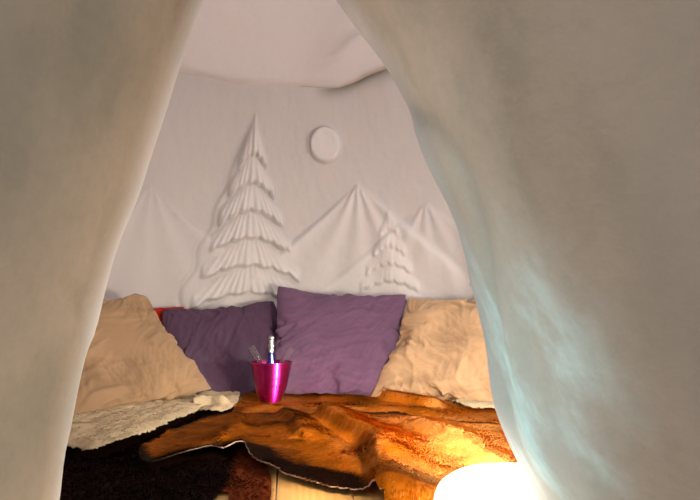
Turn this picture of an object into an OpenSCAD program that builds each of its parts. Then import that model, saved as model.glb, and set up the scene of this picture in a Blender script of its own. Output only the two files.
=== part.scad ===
// A free-standing igloo bedroom: one round room under a snow dome, with a pointed doorway,
// a carved back wall, and a bed platform that fills the back of the room.
// Millimetres, +Z up. The doorway faces -Y. The origin is on the ground at the middle of the footprint.

/* [Snow shell] */
// Radius of the round room inside
room_r = 1500; // [1350:10:1700]
// Height at which the upright wall turns into the dome
spring_z = 1500; // [1400:10:1600]
// Thickness of the snow where the dome starts
wall_t = 450; // [380:10:520]
// How much further out the foot of the wall stands than its shoulder
batter = 150; // [60:10:220]
// Height of the level joint between the lower dome and its crown
ring_top_z = 2550; // [2500:10:2650]

/* [Doorway] */
// Width of the doorway at the ground, at its narrowest plane
door_w = 920; // [760:10:1000]
// Height of the doorway's point above the ground
door_h = 1800; // [1650:10:1850]
// Radius of the rounded mouth on the outside
mouth_r = 420; // [360:10:440]
// Radius of the rounded edge on the room's side
inner_edge_r = 110; // [80:5:130]

/* [Carved wall] */
// How deep the carving's ground is sunk into the wall
recess_d = 70; // [40:5:110]
// Half of the angle that the carving spans, seen from above
recess_half_a = 50; // [46:1:54]
// Height of the ledge over the carving
ledge_z = 2440; // [2300:10:2480]
// Thickness of the carved snow where it is thinnest
carving_t = 14; // [8:1:24]
// Greatest height of the relief over its ground
relief_h = 78; // [40:2:100]

/* [Bed] */
// Height of the top of the deck boards
bed_h = 570; // [480:10:640]
// Depth of the clear floor between the bed's front and the wall beside the doorway
floor_depth = 540; // [500:10:640]
// Width of one deck board
board_w = 196; // [140:2:240]
// Gap between two deck boards
board_gap = 4; // [2:1:8]
// Thickness of the deck boards
board_t = 27; // [20:1:36]
// Sideways shift of the row of boards
board_shift = -20; // [-60:5:60]
// Height of the board along the bed's front
front_board_h = 140; // [100:5:180]

/* [Bedding] */
// Thickness of a hide laid flat
hide_t = 14; // [8:1:20]
// How far a hide hangs over the bed's front
hide_drop = 230; // [160:10:300]
// Side length of the large pillows when stuffed
pillow_w = 700; // [640:10:710]
// Greatest thickness of a large pillow
pillow_t = 170; // [140:5:175]
// Lean of the pillows from lying flat, in degrees
pillow_lean = 46; // [42:1:50]
// Side length of the small red cushion
cushion_w = 440; // [360:10:450]

/* [Bucket and glasses] */
// Outer radius of the bucket at its rim
bucket_top_r = 104; // [96:1:112]
// Outer radius of the bucket at its base
bucket_base_r = 38; // [34:1:60]
// Height of the bucket
bucket_h = 196; // [170:2:210]
// Thickness of the bucket's sheet
bucket_wall = 2; // [1.5:0.5:3]
// Radius of the bottle's body
bottle_r = 42; // [38:1:44]
// Height of the bottle up to its foil
bottle_h = 262; // [240:2:280]
// Radius of the glasses at their rim
glass_r = 19; // [17:1:20]
// Radius of the glasses' narrow lower part
glass_foot_r = 12; // [10:1:13]
// Length of the glasses
glass_h = 220; // [190:5:240]
// Lean of the glasses from upright, in degrees
glass_lean = 33; // [24:1:34]

/* [Lit snow stump] */
// Radius of the stump at its foot
stump_r = 180; // [150:5:200]
// Height of the stump
stump_h = 690; // [560:10:760]
// Radius of the stump's rounded top edge
stump_edge_r = 75; // [40:5:110]
// Gap between the stump and the room's wall
stump_gap = 54; // [30:2:80]

/* [Hidden] */
$fn = 96;
// Number of sides for the shell's large circles
fine = 288;

// Clearance between pieces that rest on each other or stand side by side
seat = 0.3;

// Outer radii of the shell at its shoulder and at the ground
shoulder_r = room_r + wall_t;
base_r = shoulder_r + batter;

// Azimuths at which the shell is split; -90 is the doorway's middle and 90 the carving's
front_a = -90;
back_a = 90;
front_half_a = 45;
side_a = (recess_half_a + 180 - front_half_a) / 2;

// The doorway is a pointed arch of two arcs, struck from the ground line on either side
arc_c = (door_h * door_h - door_w * door_w / 4) / door_w;
arc_r = arc_c + door_w / 2;
// Plane of the doorway's narrowest opening, measured outwards from the room's middle
throat = room_r + 20;
// The room's middle lies behind the footprint's middle, because the mouth cuts the front away
mouth_half_w = door_w / 2 + mouth_r;
room_y = -(base_r - sqrt(base_r * base_r - mouth_half_w * mouth_half_w)) / 2;

// Radius of the relief's ground and the thickness the relief may use up
carving_back_r = room_r + recess_d - seat;
carving_cols = 48;
carving_back_rows = 12;
rows_per_back = 4;
carving_rows = carving_back_rows * rows_per_back;

// Distance of the bed's front from the middle of the room
bed_front = room_r - floor_depth;

// Room radius and bed front at which the bedding lies as it is listed
plan_r = 1500;
plan_front = 960;
// Place of a point of the bedding when the room or the bed's front has another size
function on_bed(p) = [p[0] * room_r / plan_r, p[1] * (p[1] < 0 ? bed_front / plan_front : room_r / plan_r)];
// Place of a thing near the wall: it follows the wall along its own lean, and forwards k times as far
function by_wall(at, turn, k = 1) =
    let (d = room_r - plan_r) at + (d < 0 ? k * d : d) * [-sin(turn), cos(turn)];

// Heights of the two layers of hides on the deck
layer_1 = bed_h + seat;
layer_2 = layer_1 + hide_t + seat;
bedding_z = layer_2;

module in_room() {
    translate([0, room_y, 0]) children();
}

// Section of the upright wall, thicker at its foot; the carved part is cut back over the bed
module wall_section(carved) {
    difference() {
        polygon([[room_r, 0], [base_r, 0], [shoulder_r, spring_z], [room_r, spring_z]]);
        if (carved) translate([0, bed_h]) square([room_r + recess_d, spring_z]);
    }
}

// Section of the lower dome, between the spring line and the level joint
module dome_section(carved) {
    translate([0, spring_z]) difference() {
        intersection() {
            circle(r = shoulder_r, $fn = fine);
            square([shoulder_r, ring_top_z - spring_z]);
        }
        circle(r = room_r, $fn = fine);
        if (carved) intersection() {
            circle(r = room_r + recess_d, $fn = fine);
            square([room_r + recess_d, ledge_z - spring_z]);
        }
    }
}

// One upright segment of the round wall between two azimuths
module wall_segment(a0, a1, carved = false) {
    in_room() rotate([0, 0, a0]) rotate_extrude(angle = a1 - a0) wall_section(carved);
}

// One segment of the lower dome between two azimuths
module dome_segment(a0, a1, carved = false) {
    in_room() rotate([0, 0, a0]) rotate_extrude(angle = a1 - a0) dome_section(carved);
}

// Half of the opening's section: radius from an arc's centre against distance outwards.
// The wall's nose is left standing between a small rounding inside and a large one outside.
module flare_section() {
    inner = room_r - 260;
    outer = base_r + 120;
    difference() {
        translate([0, inner]) square([arc_r + inner_edge_r, throat - inner]);
        translate([arc_r + inner_edge_r, throat]) circle(r = inner_edge_r);
    }
    difference() {
        translate([0, throat]) square([arc_r + mouth_r, outer - throat]);
        translate([arc_r + mouth_r, throat]) circle(r = mouth_r);
    }
}

// Disc with a flared rim, struck from one arc's centre; two of them make the pointed doorway
module flared_disc(side) {
    translate([-side * arc_c, 0, 0]) rotate([90, 0, 0]) rotate_extrude($fn = fine) flare_section();
}

// The doorway's opening, from inside the room to the open air
module doorway() {
    in_room() intersection() {
        flared_disc(1);
        flared_disc(-1);
    }
}

module front_wall_left() {
    color("#8c8578") difference() {
        wall_segment(front_a - front_half_a, front_a);
        doorway();
    }
}

module front_wall_right() {
    color("#8c8578") difference() {
        wall_segment(front_a, front_a + front_half_a);
        doorway();
    }
}

module arch_head_left() {
    color("#8c8578") difference() {
        dome_segment(front_a - front_half_a, front_a);
        doorway();
    }
}

module arch_head_right() {
    color("#8c8578") difference() {
        dome_segment(front_a, front_a + front_half_a);
        doorway();
    }
}

module left_wall_front() {
    color("#b9aaa0") wall_segment(back_a + side_a, back_a + 180 - front_half_a);
}

module left_wall_back() {
    color("#b9aaa0") wall_segment(back_a + recess_half_a, back_a + side_a);
}

module back_wall_left() {
    color("#b9aaa0") wall_segment(back_a, back_a + recess_half_a, true);
}

module back_wall_right() {
    color("#b9aaa0") wall_segment(back_a - recess_half_a, back_a, true);
}

module right_wall_back() {
    color("#b9aaa0") wall_segment(back_a - side_a, back_a - recess_half_a);
}

module right_wall_front() {
    color("#b9aaa0") wall_segment(front_a + front_half_a, back_a - side_a);
}

module dome_left_front() {
    color("#c4b8b0") dome_segment(back_a + side_a, back_a + 180 - front_half_a);
}

module dome_left_back() {
    color("#c4b8b0") dome_segment(back_a + recess_half_a, back_a + side_a);
}

module dome_back_left() {
    color("#c4b8b0") dome_segment(back_a, back_a + recess_half_a, true);
}

module dome_back_right() {
    color("#c4b8b0") dome_segment(back_a - recess_half_a, back_a, true);
}

module dome_right_back() {
    color("#c4b8b0") dome_segment(back_a - side_a, back_a - recess_half_a);
}

module dome_right_front() {
    color("#c4b8b0") dome_segment(front_a + front_half_a, back_a - side_a);
}

// Crown of the dome, which closes the room over the level joint
module dome_crown() {
    color("#cfc6c0") in_room() translate([0, 0, spring_z]) rotate_extrude() difference() {
        intersection() {
            circle(r = shoulder_r, $fn = fine);
            translate([0, ring_top_z - spring_z]) square([shoulder_r, shoulder_r]);
        }
        circle(r = room_r, $fn = fine);
    }
}

// Smooth steps and bumps that the relief is put together from
function clamp01(v) = min(1, max(0, v));
function smooth(v) = let (c = clamp01(v)) c * c * (3 - 2 * c);
function dist2(u, v) = sqrt(u * u + v * v);

// One fir tree: tiers of boughs that droop from a middle line and stand out at their lower ends.
// s is the distance along the wall, z the height; x0 and z0 are the tree's foot.
function bough(s, z, x0, z0, h, w, n, k) =
    let (
        tier = h / n,
        foot = z0 + (n - 1 - k) * tier * 0.92,
        half = w * (k + 1.6) / (n + 0.6),
        u = abs(s - x0) / half,
        lower = foot - tier * 0.55 * u * u,
        upper = foot + tier * 1.35 * (1 - u),
        fingers = 0.82 + 0.18 * cos((s - x0) * 5400 / half / 9),
        down = clamp01((upper - z) / max(1, upper - lower))
    )
    (u >= 1) ? 0 : smooth((z - lower) / 26) * down * fingers * smooth((1 - u) * 5);
function fir(s, z, x0, z0, h, w, n) =
    max([for (k = [0 : n - 1]) bough(s, z, x0, z0, h, w, n, n - 1 - k)]);

// One mountain: two straight slopes with crests that run down from the peak
function mountain(s, z, x0, top, slope, crests) =
    let (
        depth = top - z - slope * abs(s - x0),
        crest = 0.75 + 0.25 * cos(atan2(s - x0, top - z + 1) * crests)
    )
    smooth(depth / 60) * crest * (1 - 0.35 * smooth(depth / 900));

// Height of the relief over its ground, from 0 to 1
function relief(s, z) =
    let (
        moon = smooth((118 - dist2(s - 270, z - (ledge_z - 330))) / 22),
        hills = 0.45 * mountain(s, z, 480, ledge_z - 560, 0.85, 16)
            + 0.30 * mountain(s, z, 930, ledge_z - 700, 0.8, 14)
            + 0.30 * mountain(s, z, -880, ledge_z - 620, 0.75, 15),
        drift = 0.35 * smooth((bed_h + 560 + 60 * sin(s / 6) - z) / 130),
        big = fir(s, z, -230, bed_h + 560, 1180, 400, 6),
        small = 0.8 * fir(s, z, 690, bed_h + 520, 620, 250, 5)
    )
    max(0.55 * moon, min(0.8, hills), drift, big, small);

// Radius of the carved wall's face at a height, before the relief
function face_r(z) =
    let (r = room_r + recess_d, up = max(0, z - spring_z)) sqrt(r * r - up * up);
function back_r(z) =
    let (up = max(0, z - spring_z)) sqrt(carving_back_r * carving_back_r - up * up);
function polar(a, r, z) = [r * cos(a), r * sin(a), z];

// The relief fades out at its four edges
function edge_fade(a, z) =
    smooth((recess_half_a - abs(a)) / 6) * smooth((ledge_z - z) / 60);

// Carved back wall: a thin curved sheet of snow that fills the recess, with the relief on its face
module wall_carving() {
    lo = bed_h + seat;
    hi = ledge_z - seat;
    half = recess_half_a - 0.05;
    cols = carving_cols;
    rows = carving_rows;
    backs = carving_back_rows;
    front_pts = [for (j = [0 : rows], i = [0 : cols])
        let (
            a = -half + 2 * half * i / cols,
            z = lo + (hi - lo) * j / rows,
            s = -a * PI / 180 * room_r,
            h = relief_h * relief(s, z) * edge_fade(a, z)
        )
        polar(back_a + a, face_r(z) - carving_t - h, z)];
    back_pts = [for (j = [0 : backs], i = [0 : cols])
        let (
            a = -half + 2 * half * i / cols,
            z = lo + (hi - lo) * j / backs
        )
        polar(back_a + a, back_r(z), z)];
    n = cols + 1;
    m = len(front_pts);
    front_faces = [for (j = [0 : rows - 1], i = [0 : cols - 1])
        [j * n + i, j * n + i + 1, (j + 1) * n + i + 1, (j + 1) * n + i]];
    back_faces = [for (j = [0 : backs - 1], i = [0 : cols - 1])
        [m + (j + 1) * n + i, m + (j + 1) * n + i + 1, m + j * n + i + 1, m + j * n + i]];
    low_edge = [for (i = [0 : cols - 1]) [m + i, m + i + 1, i + 1, i]];
    top_edge = [for (i = [0 : cols - 1])
        [rows * n + i, rows * n + i + 1, m + backs * n + i + 1, m + backs * n + i]];
    // Each side closes with fans: one back point against the front rows beside it
    step = rows_per_back;
    fans = [for (i = [0, cols], j = [0 : backs - 1], k = [0 : step]) let (
            b = m + j * n + i,
            f = (j * step + k) * n + i,
            next = (k < step) ? f + n : m + (j + 1) * n + i
        )
        (i == 0) ? [b, f, next] : [b, next, f]];
    color("#d3c6bd") in_room() polyhedron(
        points = concat(front_pts, back_pts),
        faces = concat(front_faces, back_faces, low_edge, top_edge, fans),
        convexity = 8);
}

// Everything on the bed's plan that lies inside the round wall and behind the bed's front
module bed_plan(r, front) {
    intersection() {
        circle(r = r, $fn = fine);
        translate([-r, -front]) square([2 * r, r + front]);
    }
}

module bed_plinth() {
    color("#d9d2cc") in_room() linear_extrude(bed_h - board_t)
        bed_plan(room_r - seat, bed_front - board_t);
}

module deck_boards() {
    pitch = board_w + board_gap;
    count = ceil(room_r / pitch);
    color("#d8b27c") in_room() translate([0, 0, bed_h - board_t]) linear_extrude(board_t) intersection() {
        bed_plan(room_r - seat, bed_front);
        for (i = [-count : count]) translate([i * pitch + board_shift + board_gap / 2, -room_r])
            square([board_w, 2 * room_r]);
    }
}

module bed_front_board() {
    color("#d8b27c") in_room() translate([0, 0, bed_h - board_t - front_board_h]) linear_extrude(front_board_h)
        difference() {
            bed_plan(room_r - seat, bed_front);
            bed_plan(room_r, bed_front - board_t);
        }
}

// Stump of packed snow with a lamp frozen into it
module snow_stump() {
    y = bed_front + hide_t + 2 * seat + stump_r;
    from_middle = room_r - stump_gap - stump_r;
    x = sqrt(from_middle * from_middle - y * y);
    color("#fff1d8") in_room() translate([x, -y, 0]) rotate_extrude() {
        square([stump_r - stump_edge_r, stump_h]);
        square([stump_r, stump_h - stump_edge_r]);
        translate([stump_r - stump_edge_r, stump_h - stump_edge_r]) intersection() {
            circle(r = stump_edge_r);
            square(stump_edge_r);
        }
    }
}

// Closed curve through a few points, each stretch a cubic that passes through its ends
function loop_at(p, i, t) =
    let (
        n = len(p), a = p[(i + n - 1) % n], b = p[i % n], c = p[(i + 1) % n], d = p[(i + 2) % n]
    )
    0.5 * (2 * b + (c - a) * t + (2 * a - 5 * b + 4 * c - d) * t * t
        + (3 * b - a - 3 * c + d) * t * t * t);
function smooth_loop(p, steps) =
    [for (i = [0 : len(p) - 1], k = [0 : steps - 1]) loop_at(p, i, k / steps)];

// A hide or fleece laid flat on the deck
module laid(outline, z) {
    in_room() translate([0, 0, z]) linear_extrude(hide_t)
        polygon(smooth_loop([for (p = outline) on_bed(p)], 5));
}

// The part of a hide that hangs down over the bed's front between two sideways places
module hanging(x0, x1, z) {
    from = on_bed([x0, 0])[0];
    to = on_bed([x1, 0])[0];
    in_room() translate([from, -bed_front - hide_t - seat, z - hide_drop])
        cube([to - from, hide_t, hide_drop + hide_t]);
}

dark_outline = [[-1120, -700], [-960, -430], [-760, -450], [-620, -510], [-520, -410], [-450, -130],
    [-380, 50], [-310, 70], [-210, -120], [-170, -420], [-60, -620], [-38, -780], [-35, -966],
    [-130, -966], [-160, -800], [-190, -966], [-600, -968], [-1050, -966]];
module dark_hide() {
    color("#2c1d16") {
        laid(dark_outline, layer_1);
        hanging(-1000, -200, layer_1);
        hanging(-125, -40, layer_1);
    }
}

back_outline = [[-170, 120], [-200, 500], [-190, 860], [-60, 980], [300, 1000], [700, 960],
    [820, 700], [840, 300], [800, 40], [520, -10], [200, 20]];
module tan_hide_back() {
    color("#c9761f") laid(back_outline, layer_1);
}

front_outline = [[-455, -500], [-440, -330], [-400, -120], [-340, 30], [-270, 150], [-190, 180],
    [-60, 150], [65, 125], [190, 60], [325, 66], [500, 94], [640, -40], [870, -130], [900, -400],
    [880, -700], [840, -945], [500, -968], [215, -962], [110, -900], [40, -830], [-30, -735],
    [-105, -570], [-140, -430], [-190, -520], [-240, -490], [-300, -520], [-390, -625]];
module tan_hide_front() {
    color("#d9822b") {
        laid(front_outline, layer_2);
        hanging(260, 820, layer_2);
    }
}

left_fleece = [[-900, -120], [-800, -330], [-690, -370], [-615, -430], [-545, -330], [-470, -60],
    [-420, 150], [-400, 420], [-480, 700], [-760, 720], [-1000, 420], [-1000, 60]];
module sheepskin_left() {
    color("#e6dccb") laid(left_fleece, layer_1);
}

middle_fleece = [[-370, 490], [-245, 470], [-235, 700], [-265, 920], [-420, 960], [-450, 760]];
module sheepskin_middle() {
    color("#e6dccb") laid(middle_fleece, layer_1);
}

right_fleece = [[870, 260], [1050, 240], [1130, 480], [1060, 760], [900, 840], [850, 560]];
module sheepskin_right() {
    color("#e6dccb") laid(right_fleece, layer_1);
}

// Half thickness of a stuffed pillow over its unit square, and how far its sides pull in
function pillow_bulge(u, v) = pow((1 - pow(abs(u), 3)) * (1 - pow(abs(v), 3)), 0.5);
function pillow_pull(v) = 1 - 0.06 * (1 - v * v);
function tip(p, lean) = [p[0], p[1] * cos(lean) - p[2] * sin(lean), p[1] * sin(lean) + p[2] * cos(lean)];

// Stuffed square pillow that leans back from its lower edge and stands on the bedding or the deck
module pillow(w, t, lean, at, turn, roll = 0, foot_z = bedding_z) {
    n = 12;
    rim = 4;
    side = [for (k = [0 : n]) 2 * k / n - 1];
    sheet = function (up) [for (v = side, u = side)
        tip([w / 2 * u * pillow_pull(v) * cos(roll) - w / 2 * v * pillow_pull(u) * sin(roll),
            w / 2 * v * pillow_pull(u) * cos(roll) + w / 2 * u * pillow_pull(v) * sin(roll),
            up * (rim + (t / 2 - rim) * pillow_bulge(u, v))], lean)];
    pts = concat(sheet(1), sheet(-1));
    low = min([for (p = pts) p[2]]);
    m = (n + 1) * (n + 1);
    grid = [for (j = [0 : n - 1], i = [0 : n - 1]) [j * (n + 1) + i, j * (n + 1) + i + 1,
        (j + 1) * (n + 1) + i + 1, (j + 1) * (n + 1) + i]];
    ring = concat([for (i = [0 : n - 1]) i], [for (j = [0 : n - 1]) j * (n + 1) + n],
        [for (i = [n : -1 : 1]) n * (n + 1) + i], [for (j = [n : -1 : 1]) j * (n + 1)]);
    count = len(ring);
    top = [for (f = grid) [f[3], f[2], f[1], f[0]]];
    bottom = [for (f = grid) [m + f[0], m + f[1], m + f[2], m + f[3]]];
    sides = [for (k = [0 : count - 1]) [ring[k], ring[(k + 1) % count], m + ring[(k + 1) % count], m + ring[k]]];
    in_room() translate([at[0], at[1], foot_z - low]) rotate([0, 0, turn])
        polyhedron(points = pts, faces = concat(top, bottom, sides), convexity = 4);
}

// Turn of each pillow from facing the doorway, in degrees
tan_left_turn = 36;
purple_left_turn = 12;
purple_right_turn = -4;
tan_right_turn = -38;
cushion_turn = 38;
// The outer pillows lean on the inner ones too, so a smaller room pushes them further forward
outer_follow = 1.5;

module pillow_tan_left() {
    at = by_wall([-800, 540], tan_left_turn, outer_follow);
    color("#d9b27c") pillow(pillow_w, pillow_t, pillow_lean, at, tan_left_turn, -3);
}

// Squeezed a little between its neighbours
module pillow_purple_left() {
    at = by_wall([-340, 1085], purple_left_turn);
    color("#6d5470") pillow(pillow_w - 40, pillow_t - 20, pillow_lean + 4, at, purple_left_turn);
}

// Stuffed a little fuller than the others
module pillow_purple_right() {
    at = by_wall([296, 990], purple_right_turn);
    color("#7d6078") pillow(pillow_w + 20, pillow_t + 10, pillow_lean + 4, at, purple_right_turn, 1);
}

module pillow_tan_right() {
    at = by_wall([912, 665], tan_right_turn, outer_follow);
    color("#e0b981") pillow(pillow_w, pillow_t, pillow_lean, at, tan_right_turn, 3);
}

// Small cushion that stands upright on the bare deck behind the others
cushion_t = 70;
cushion_lean = 82;
module red_cushion() {
    at = by_wall([-790, 1100], cushion_turn);
    color("#c03420") pillow(cushion_w, cushion_t, cushion_lean, at, cushion_turn, 0, layer_1);
}

// Where the bucket stands on the hide
bucket_at = by_wall([-70, 560], 0);
bucket_floor = 3;
bucket_steps = 24;

module at_bucket() {
    in_room() translate([bucket_at[0], bucket_at[1], bedding_z]) children();
}

// The bucket swells like a tulip: its radius grows with the root of the height
function bucket_r(z) = bucket_base_r + (bucket_top_r - bucket_base_r) * sqrt(z / bucket_h);
function bucket_side(from, inset) =
    [for (k = [0 : bucket_steps]) let (z = from + (bucket_h - from) * pow(k / bucket_steps, 1.6))
        [bucket_r(z) - inset, z]];
function backwards(list) = [for (k = [len(list) - 1 : -1 : 0]) list[k]];

// Ice bucket pressed from one sheet, with a rolled rim
rim_roll_r = 3;
module ice_bucket() {
    outside = bucket_side(0, 0);
    inside = backwards(bucket_side(bucket_floor, bucket_wall));
    color("#b01560") at_bucket() rotate_extrude() {
        polygon(concat([[0, 0]], outside, inside, [[0, bucket_floor]]));
        translate([bucket_top_r, bucket_h]) circle(r = rim_roll_r, $fn = 32);
    }
}

// Bottle with a long shoulder and neck; its body is upright up to the shoulder
bottle_z = bucket_floor + seat;
bottle_body_h = 118;
neck_r = 14.5;
collar_r = 16.5;
foil_h = 60;
module bottle() {
    color("#123222") at_bucket() translate([0, 0, bottle_z]) rotate_extrude()
        polygon([[0, 0], [bottle_r - 12, 0], [bottle_r - 4, 4], [bottle_r, 14], [bottle_r, bottle_body_h],
            [bottle_r - 3, 138], [bottle_r - 12, 165], [bottle_r - 21, 195], [neck_r, 220],
            [neck_r, bottle_h], [0, bottle_h]]);
}

// Foil over the cork, with a plain band under it
module bottle_foil() {
    color("#c8c4d0") at_bucket() translate([0, 0, bottle_z + seat + bottle_h]) rotate_extrude()
        polygon([[0, 0], [neck_r, 0], [collar_r, 4], [collar_r, 16], [neck_r, 20], [neck_r, 42],
            [collar_r + 1, 46], [collar_r - 1, foil_h - 4], [collar_r - 8, foil_h], [0, foil_h]]);
}

// Tall thin glass without a stem, open at the top
glass_wall = 1.6;
module glass() {
    bowl_z = 90;
    rotate_extrude() difference() {
        polygon([[0, 0], [glass_foot_r - 3, 0], [glass_foot_r, 3], [glass_foot_r, bowl_z],
            [glass_r, glass_h - 60], [glass_r, glass_h], [0, glass_h]]);
        polygon([[0, 12], [glass_foot_r - glass_wall, 14], [glass_foot_r - glass_wall, bowl_z],
            [glass_r - glass_wall, glass_h - 60], [glass_r - glass_wall, glass_h + 1], [0, glass_h + 1]]);
    }
}

// A glass that leans sideways across the bottle, beside it, and lies against its upright body
glass_below = 26;
module leaning_glass(side) {
    cross_z = bottle_z + bottle_body_h - glass_foot_r - 2;
    at_bucket() translate([0, -side * (bottle_r + seat + glass_foot_r), cross_z])
        rotate([0, side * glass_lean, 0]) translate([0, 0, -glass_below]) glass();
}

module glass_right() {
    color("#dfe6ea") leaning_glass(1);
}

module glass_left() {
    color("#dfe6ea") leaning_glass(-1);
}

front_wall_left();
front_wall_right();
left_wall_front();
left_wall_back();
back_wall_left();
back_wall_right();
right_wall_back();
right_wall_front();
arch_head_left();
arch_head_right();
dome_left_front();
dome_left_back();
dome_back_left();
dome_back_right();
dome_right_back();
dome_right_front();
dome_crown();
wall_carving();
bed_plinth();
deck_boards();
bed_front_board();
snow_stump();
dark_hide();
tan_hide_back();
tan_hide_front();
sheepskin_left();
sheepskin_middle();
sheepskin_right();
pillow_tan_left();
pillow_purple_left();
pillow_purple_right();
pillow_tan_right();
red_cushion();
ice_bucket();
bottle();
bottle_foil();
glass_right();
glass_left();
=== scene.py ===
import math

import bmesh
import bpy
import numpy as np
from bpy.props import FloatProperty, FloatVectorProperty, IntProperty, PointerProperty
from mathutils import Matrix, Vector


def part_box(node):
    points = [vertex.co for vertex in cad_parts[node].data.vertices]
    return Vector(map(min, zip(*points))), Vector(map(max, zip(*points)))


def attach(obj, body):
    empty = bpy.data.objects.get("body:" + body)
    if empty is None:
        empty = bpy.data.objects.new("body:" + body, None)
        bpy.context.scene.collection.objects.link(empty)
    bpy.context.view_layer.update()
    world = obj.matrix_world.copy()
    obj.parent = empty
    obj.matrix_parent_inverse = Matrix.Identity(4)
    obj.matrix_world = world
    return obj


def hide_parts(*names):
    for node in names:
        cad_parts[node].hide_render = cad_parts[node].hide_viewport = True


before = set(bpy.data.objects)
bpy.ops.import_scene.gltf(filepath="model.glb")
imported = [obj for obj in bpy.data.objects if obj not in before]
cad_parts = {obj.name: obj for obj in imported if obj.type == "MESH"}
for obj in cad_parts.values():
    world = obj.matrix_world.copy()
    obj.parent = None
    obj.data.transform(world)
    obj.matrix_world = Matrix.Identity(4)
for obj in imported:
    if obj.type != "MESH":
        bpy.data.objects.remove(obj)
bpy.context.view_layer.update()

bl_info = {
    "name": "Igloo bedroom",
    "version": (1, 0, 0),
    "blender": (4, 5, 0),
    "location": "3D View > Sidebar > Igloo",
    "description": "Snow shell, carved wall, hides, pillows and ice bucket of an igloo bedroom",
    "category": "Object",
}

SEAT = 0.0003

# The round room and its shell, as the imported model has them
CROWN_LOW, CROWN_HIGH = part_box("dome_crown")
ROOM_Y = (CROWN_LOW.y + CROWN_HIGH.y) / 2
SPRING_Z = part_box("dome_left_back")[0].z
SHOULDER_R = CROWN_HIGH.z - SPRING_Z
BASE_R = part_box("back_wall_left")[1].y - ROOM_Y
ROOM_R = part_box("bed_plinth")[1].x + SEAT
THROAT = ROOM_R + 0.02
LEDGE_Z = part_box("wall_carving")[1].z + SEAT

# The deck: its top and its front edge, measured forwards from the room's middle
DECK_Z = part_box("deck_boards")[1].z
DECK_FRONT = ROOM_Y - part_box("deck_boards")[0].y

SHELL_NODES = [
    "front_wall_left", "front_wall_right", "left_wall_front", "left_wall_back",
    "back_wall_left", "back_wall_right", "right_wall_back", "right_wall_front",
    "arch_head_left", "arch_head_right", "dome_left_front", "dome_left_back",
    "dome_back_left", "dome_back_right", "dome_right_back", "dome_right_front", "dome_crown",
]


def paint(code):
    """A colour written as on screen, such as c9bcb1, as the linear values that shaders take."""
    part = [int(code[k:k + 2], 16) / 255 for k in (0, 2, 4)]
    return tuple(p / 12.92 if p <= 0.04045 else ((p + 0.055) / 1.055) ** 2.4 for p in part)


def length_of(name, description, default):
    return FloatProperty(name=name, description=description, default=default, min=0, unit="LENGTH")


def colour_of(name, description, code):
    return FloatVectorProperty(
        name=name, description=description, default=paint(code), size=3, min=0, max=1, subtype="COLOR")


class IglooSizes(bpy.types.PropertyGroup):
    """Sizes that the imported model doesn't state by itself."""
    door_width: length_of("Door width", "Doorway's width at the ground", 0.92)
    door_height: length_of("Door height", "Height of the doorway's point", 1.80)
    mouth_radius: length_of("Mouth radius", "Rounding of the doorway's outer mouth", 0.42)
    edge_radius: length_of("Edge radius", "Rounding of the doorway's inner edge", 0.11)
    recess_depth: length_of("Recess depth", "How deep the carved wall is sunk", 0.07)
    carving_thickness: length_of("Carving thickness", "Thinnest carved snow", 0.014)
    relief_height: length_of("Relief height", "Greatest height of the relief", 0.100)
    recess_half_angle: FloatProperty(
        name="Recess half angle", description="Half of the angle that the carving spans",
        default=math.radians(50), subtype="ANGLE")
    lump_height: length_of("Snow lumps", "Height of the snow's soft lumps", 0.012)
    hide_fur: length_of("Hide fur", "Length of the hides' fur", 0.026)
    fleece_fur: length_of("Fleece curls", "Length of the fleeces' locks", 0.017)
    pillow_pressure: FloatProperty(
        name="Stuffing", description="Pressure that fills the pillows", default=4.0, min=0)
    pillow_cells: IntProperty(
        name="Pillow cells", description="Cells along a pillow's side", default=50, min=8)


class IglooColours(bpy.types.PropertyGroup):
    """Colours of the finishes."""
    room_snow: colour_of("Room snow", "Snow inside the room", "dedadc")
    # Painted shade of the doorway's cheeks
    mouth_snow: colour_of("Mouth snow", "Shaded snow of the doorway", "c2ae9b")
    open_snow: colour_of("Open snow", "Snow of the outside", "e4e5e4")
    # Painted shade in the hollows and under the ledge
    hollow_snow: colour_of("Hollow snow", "Snow in the hollows", "7c7a6c")
    # Painted light through the right cheek
    ice_tint: colour_of("Ice tint", "Light that comes through the doorway's snow", "9fcbcc")
    lamp_glow: colour_of("Lamp glow", "Lit snow", "fff0d2")
    pine: colour_of("Pine", "Planed pine", "f0bf78")
    dark_fur: colour_of("Dark fur", "Dark hide", "2a1208")
    red_fur: colour_of("Red-brown fur", "Ends of the dark hide", "8a3f1c")
    orange_fur: colour_of("Orange fur", "Orange hides", "c66b0a")
    gold_fur: colour_of("Gold fur", "Light patches of the orange hides", "f2c070")
    fleece: colour_of("Fleece", "Sheepskin", "cbb899")
    tan_linen: colour_of("Tan linen", "Tan pillows", "d3af8a")
    purple_linen: colour_of("Purple linen", "Purple pillows", "785a78")
    red_cloth: colour_of("Red cloth", "Small cushion", "b8291b")
    pink_metal: colour_of("Pink metal", "Ice bucket", "d8188c")


def sizes():
    return bpy.context.scene.igloo_sizes


def colours():
    return bpy.context.scene.igloo_colours


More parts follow.
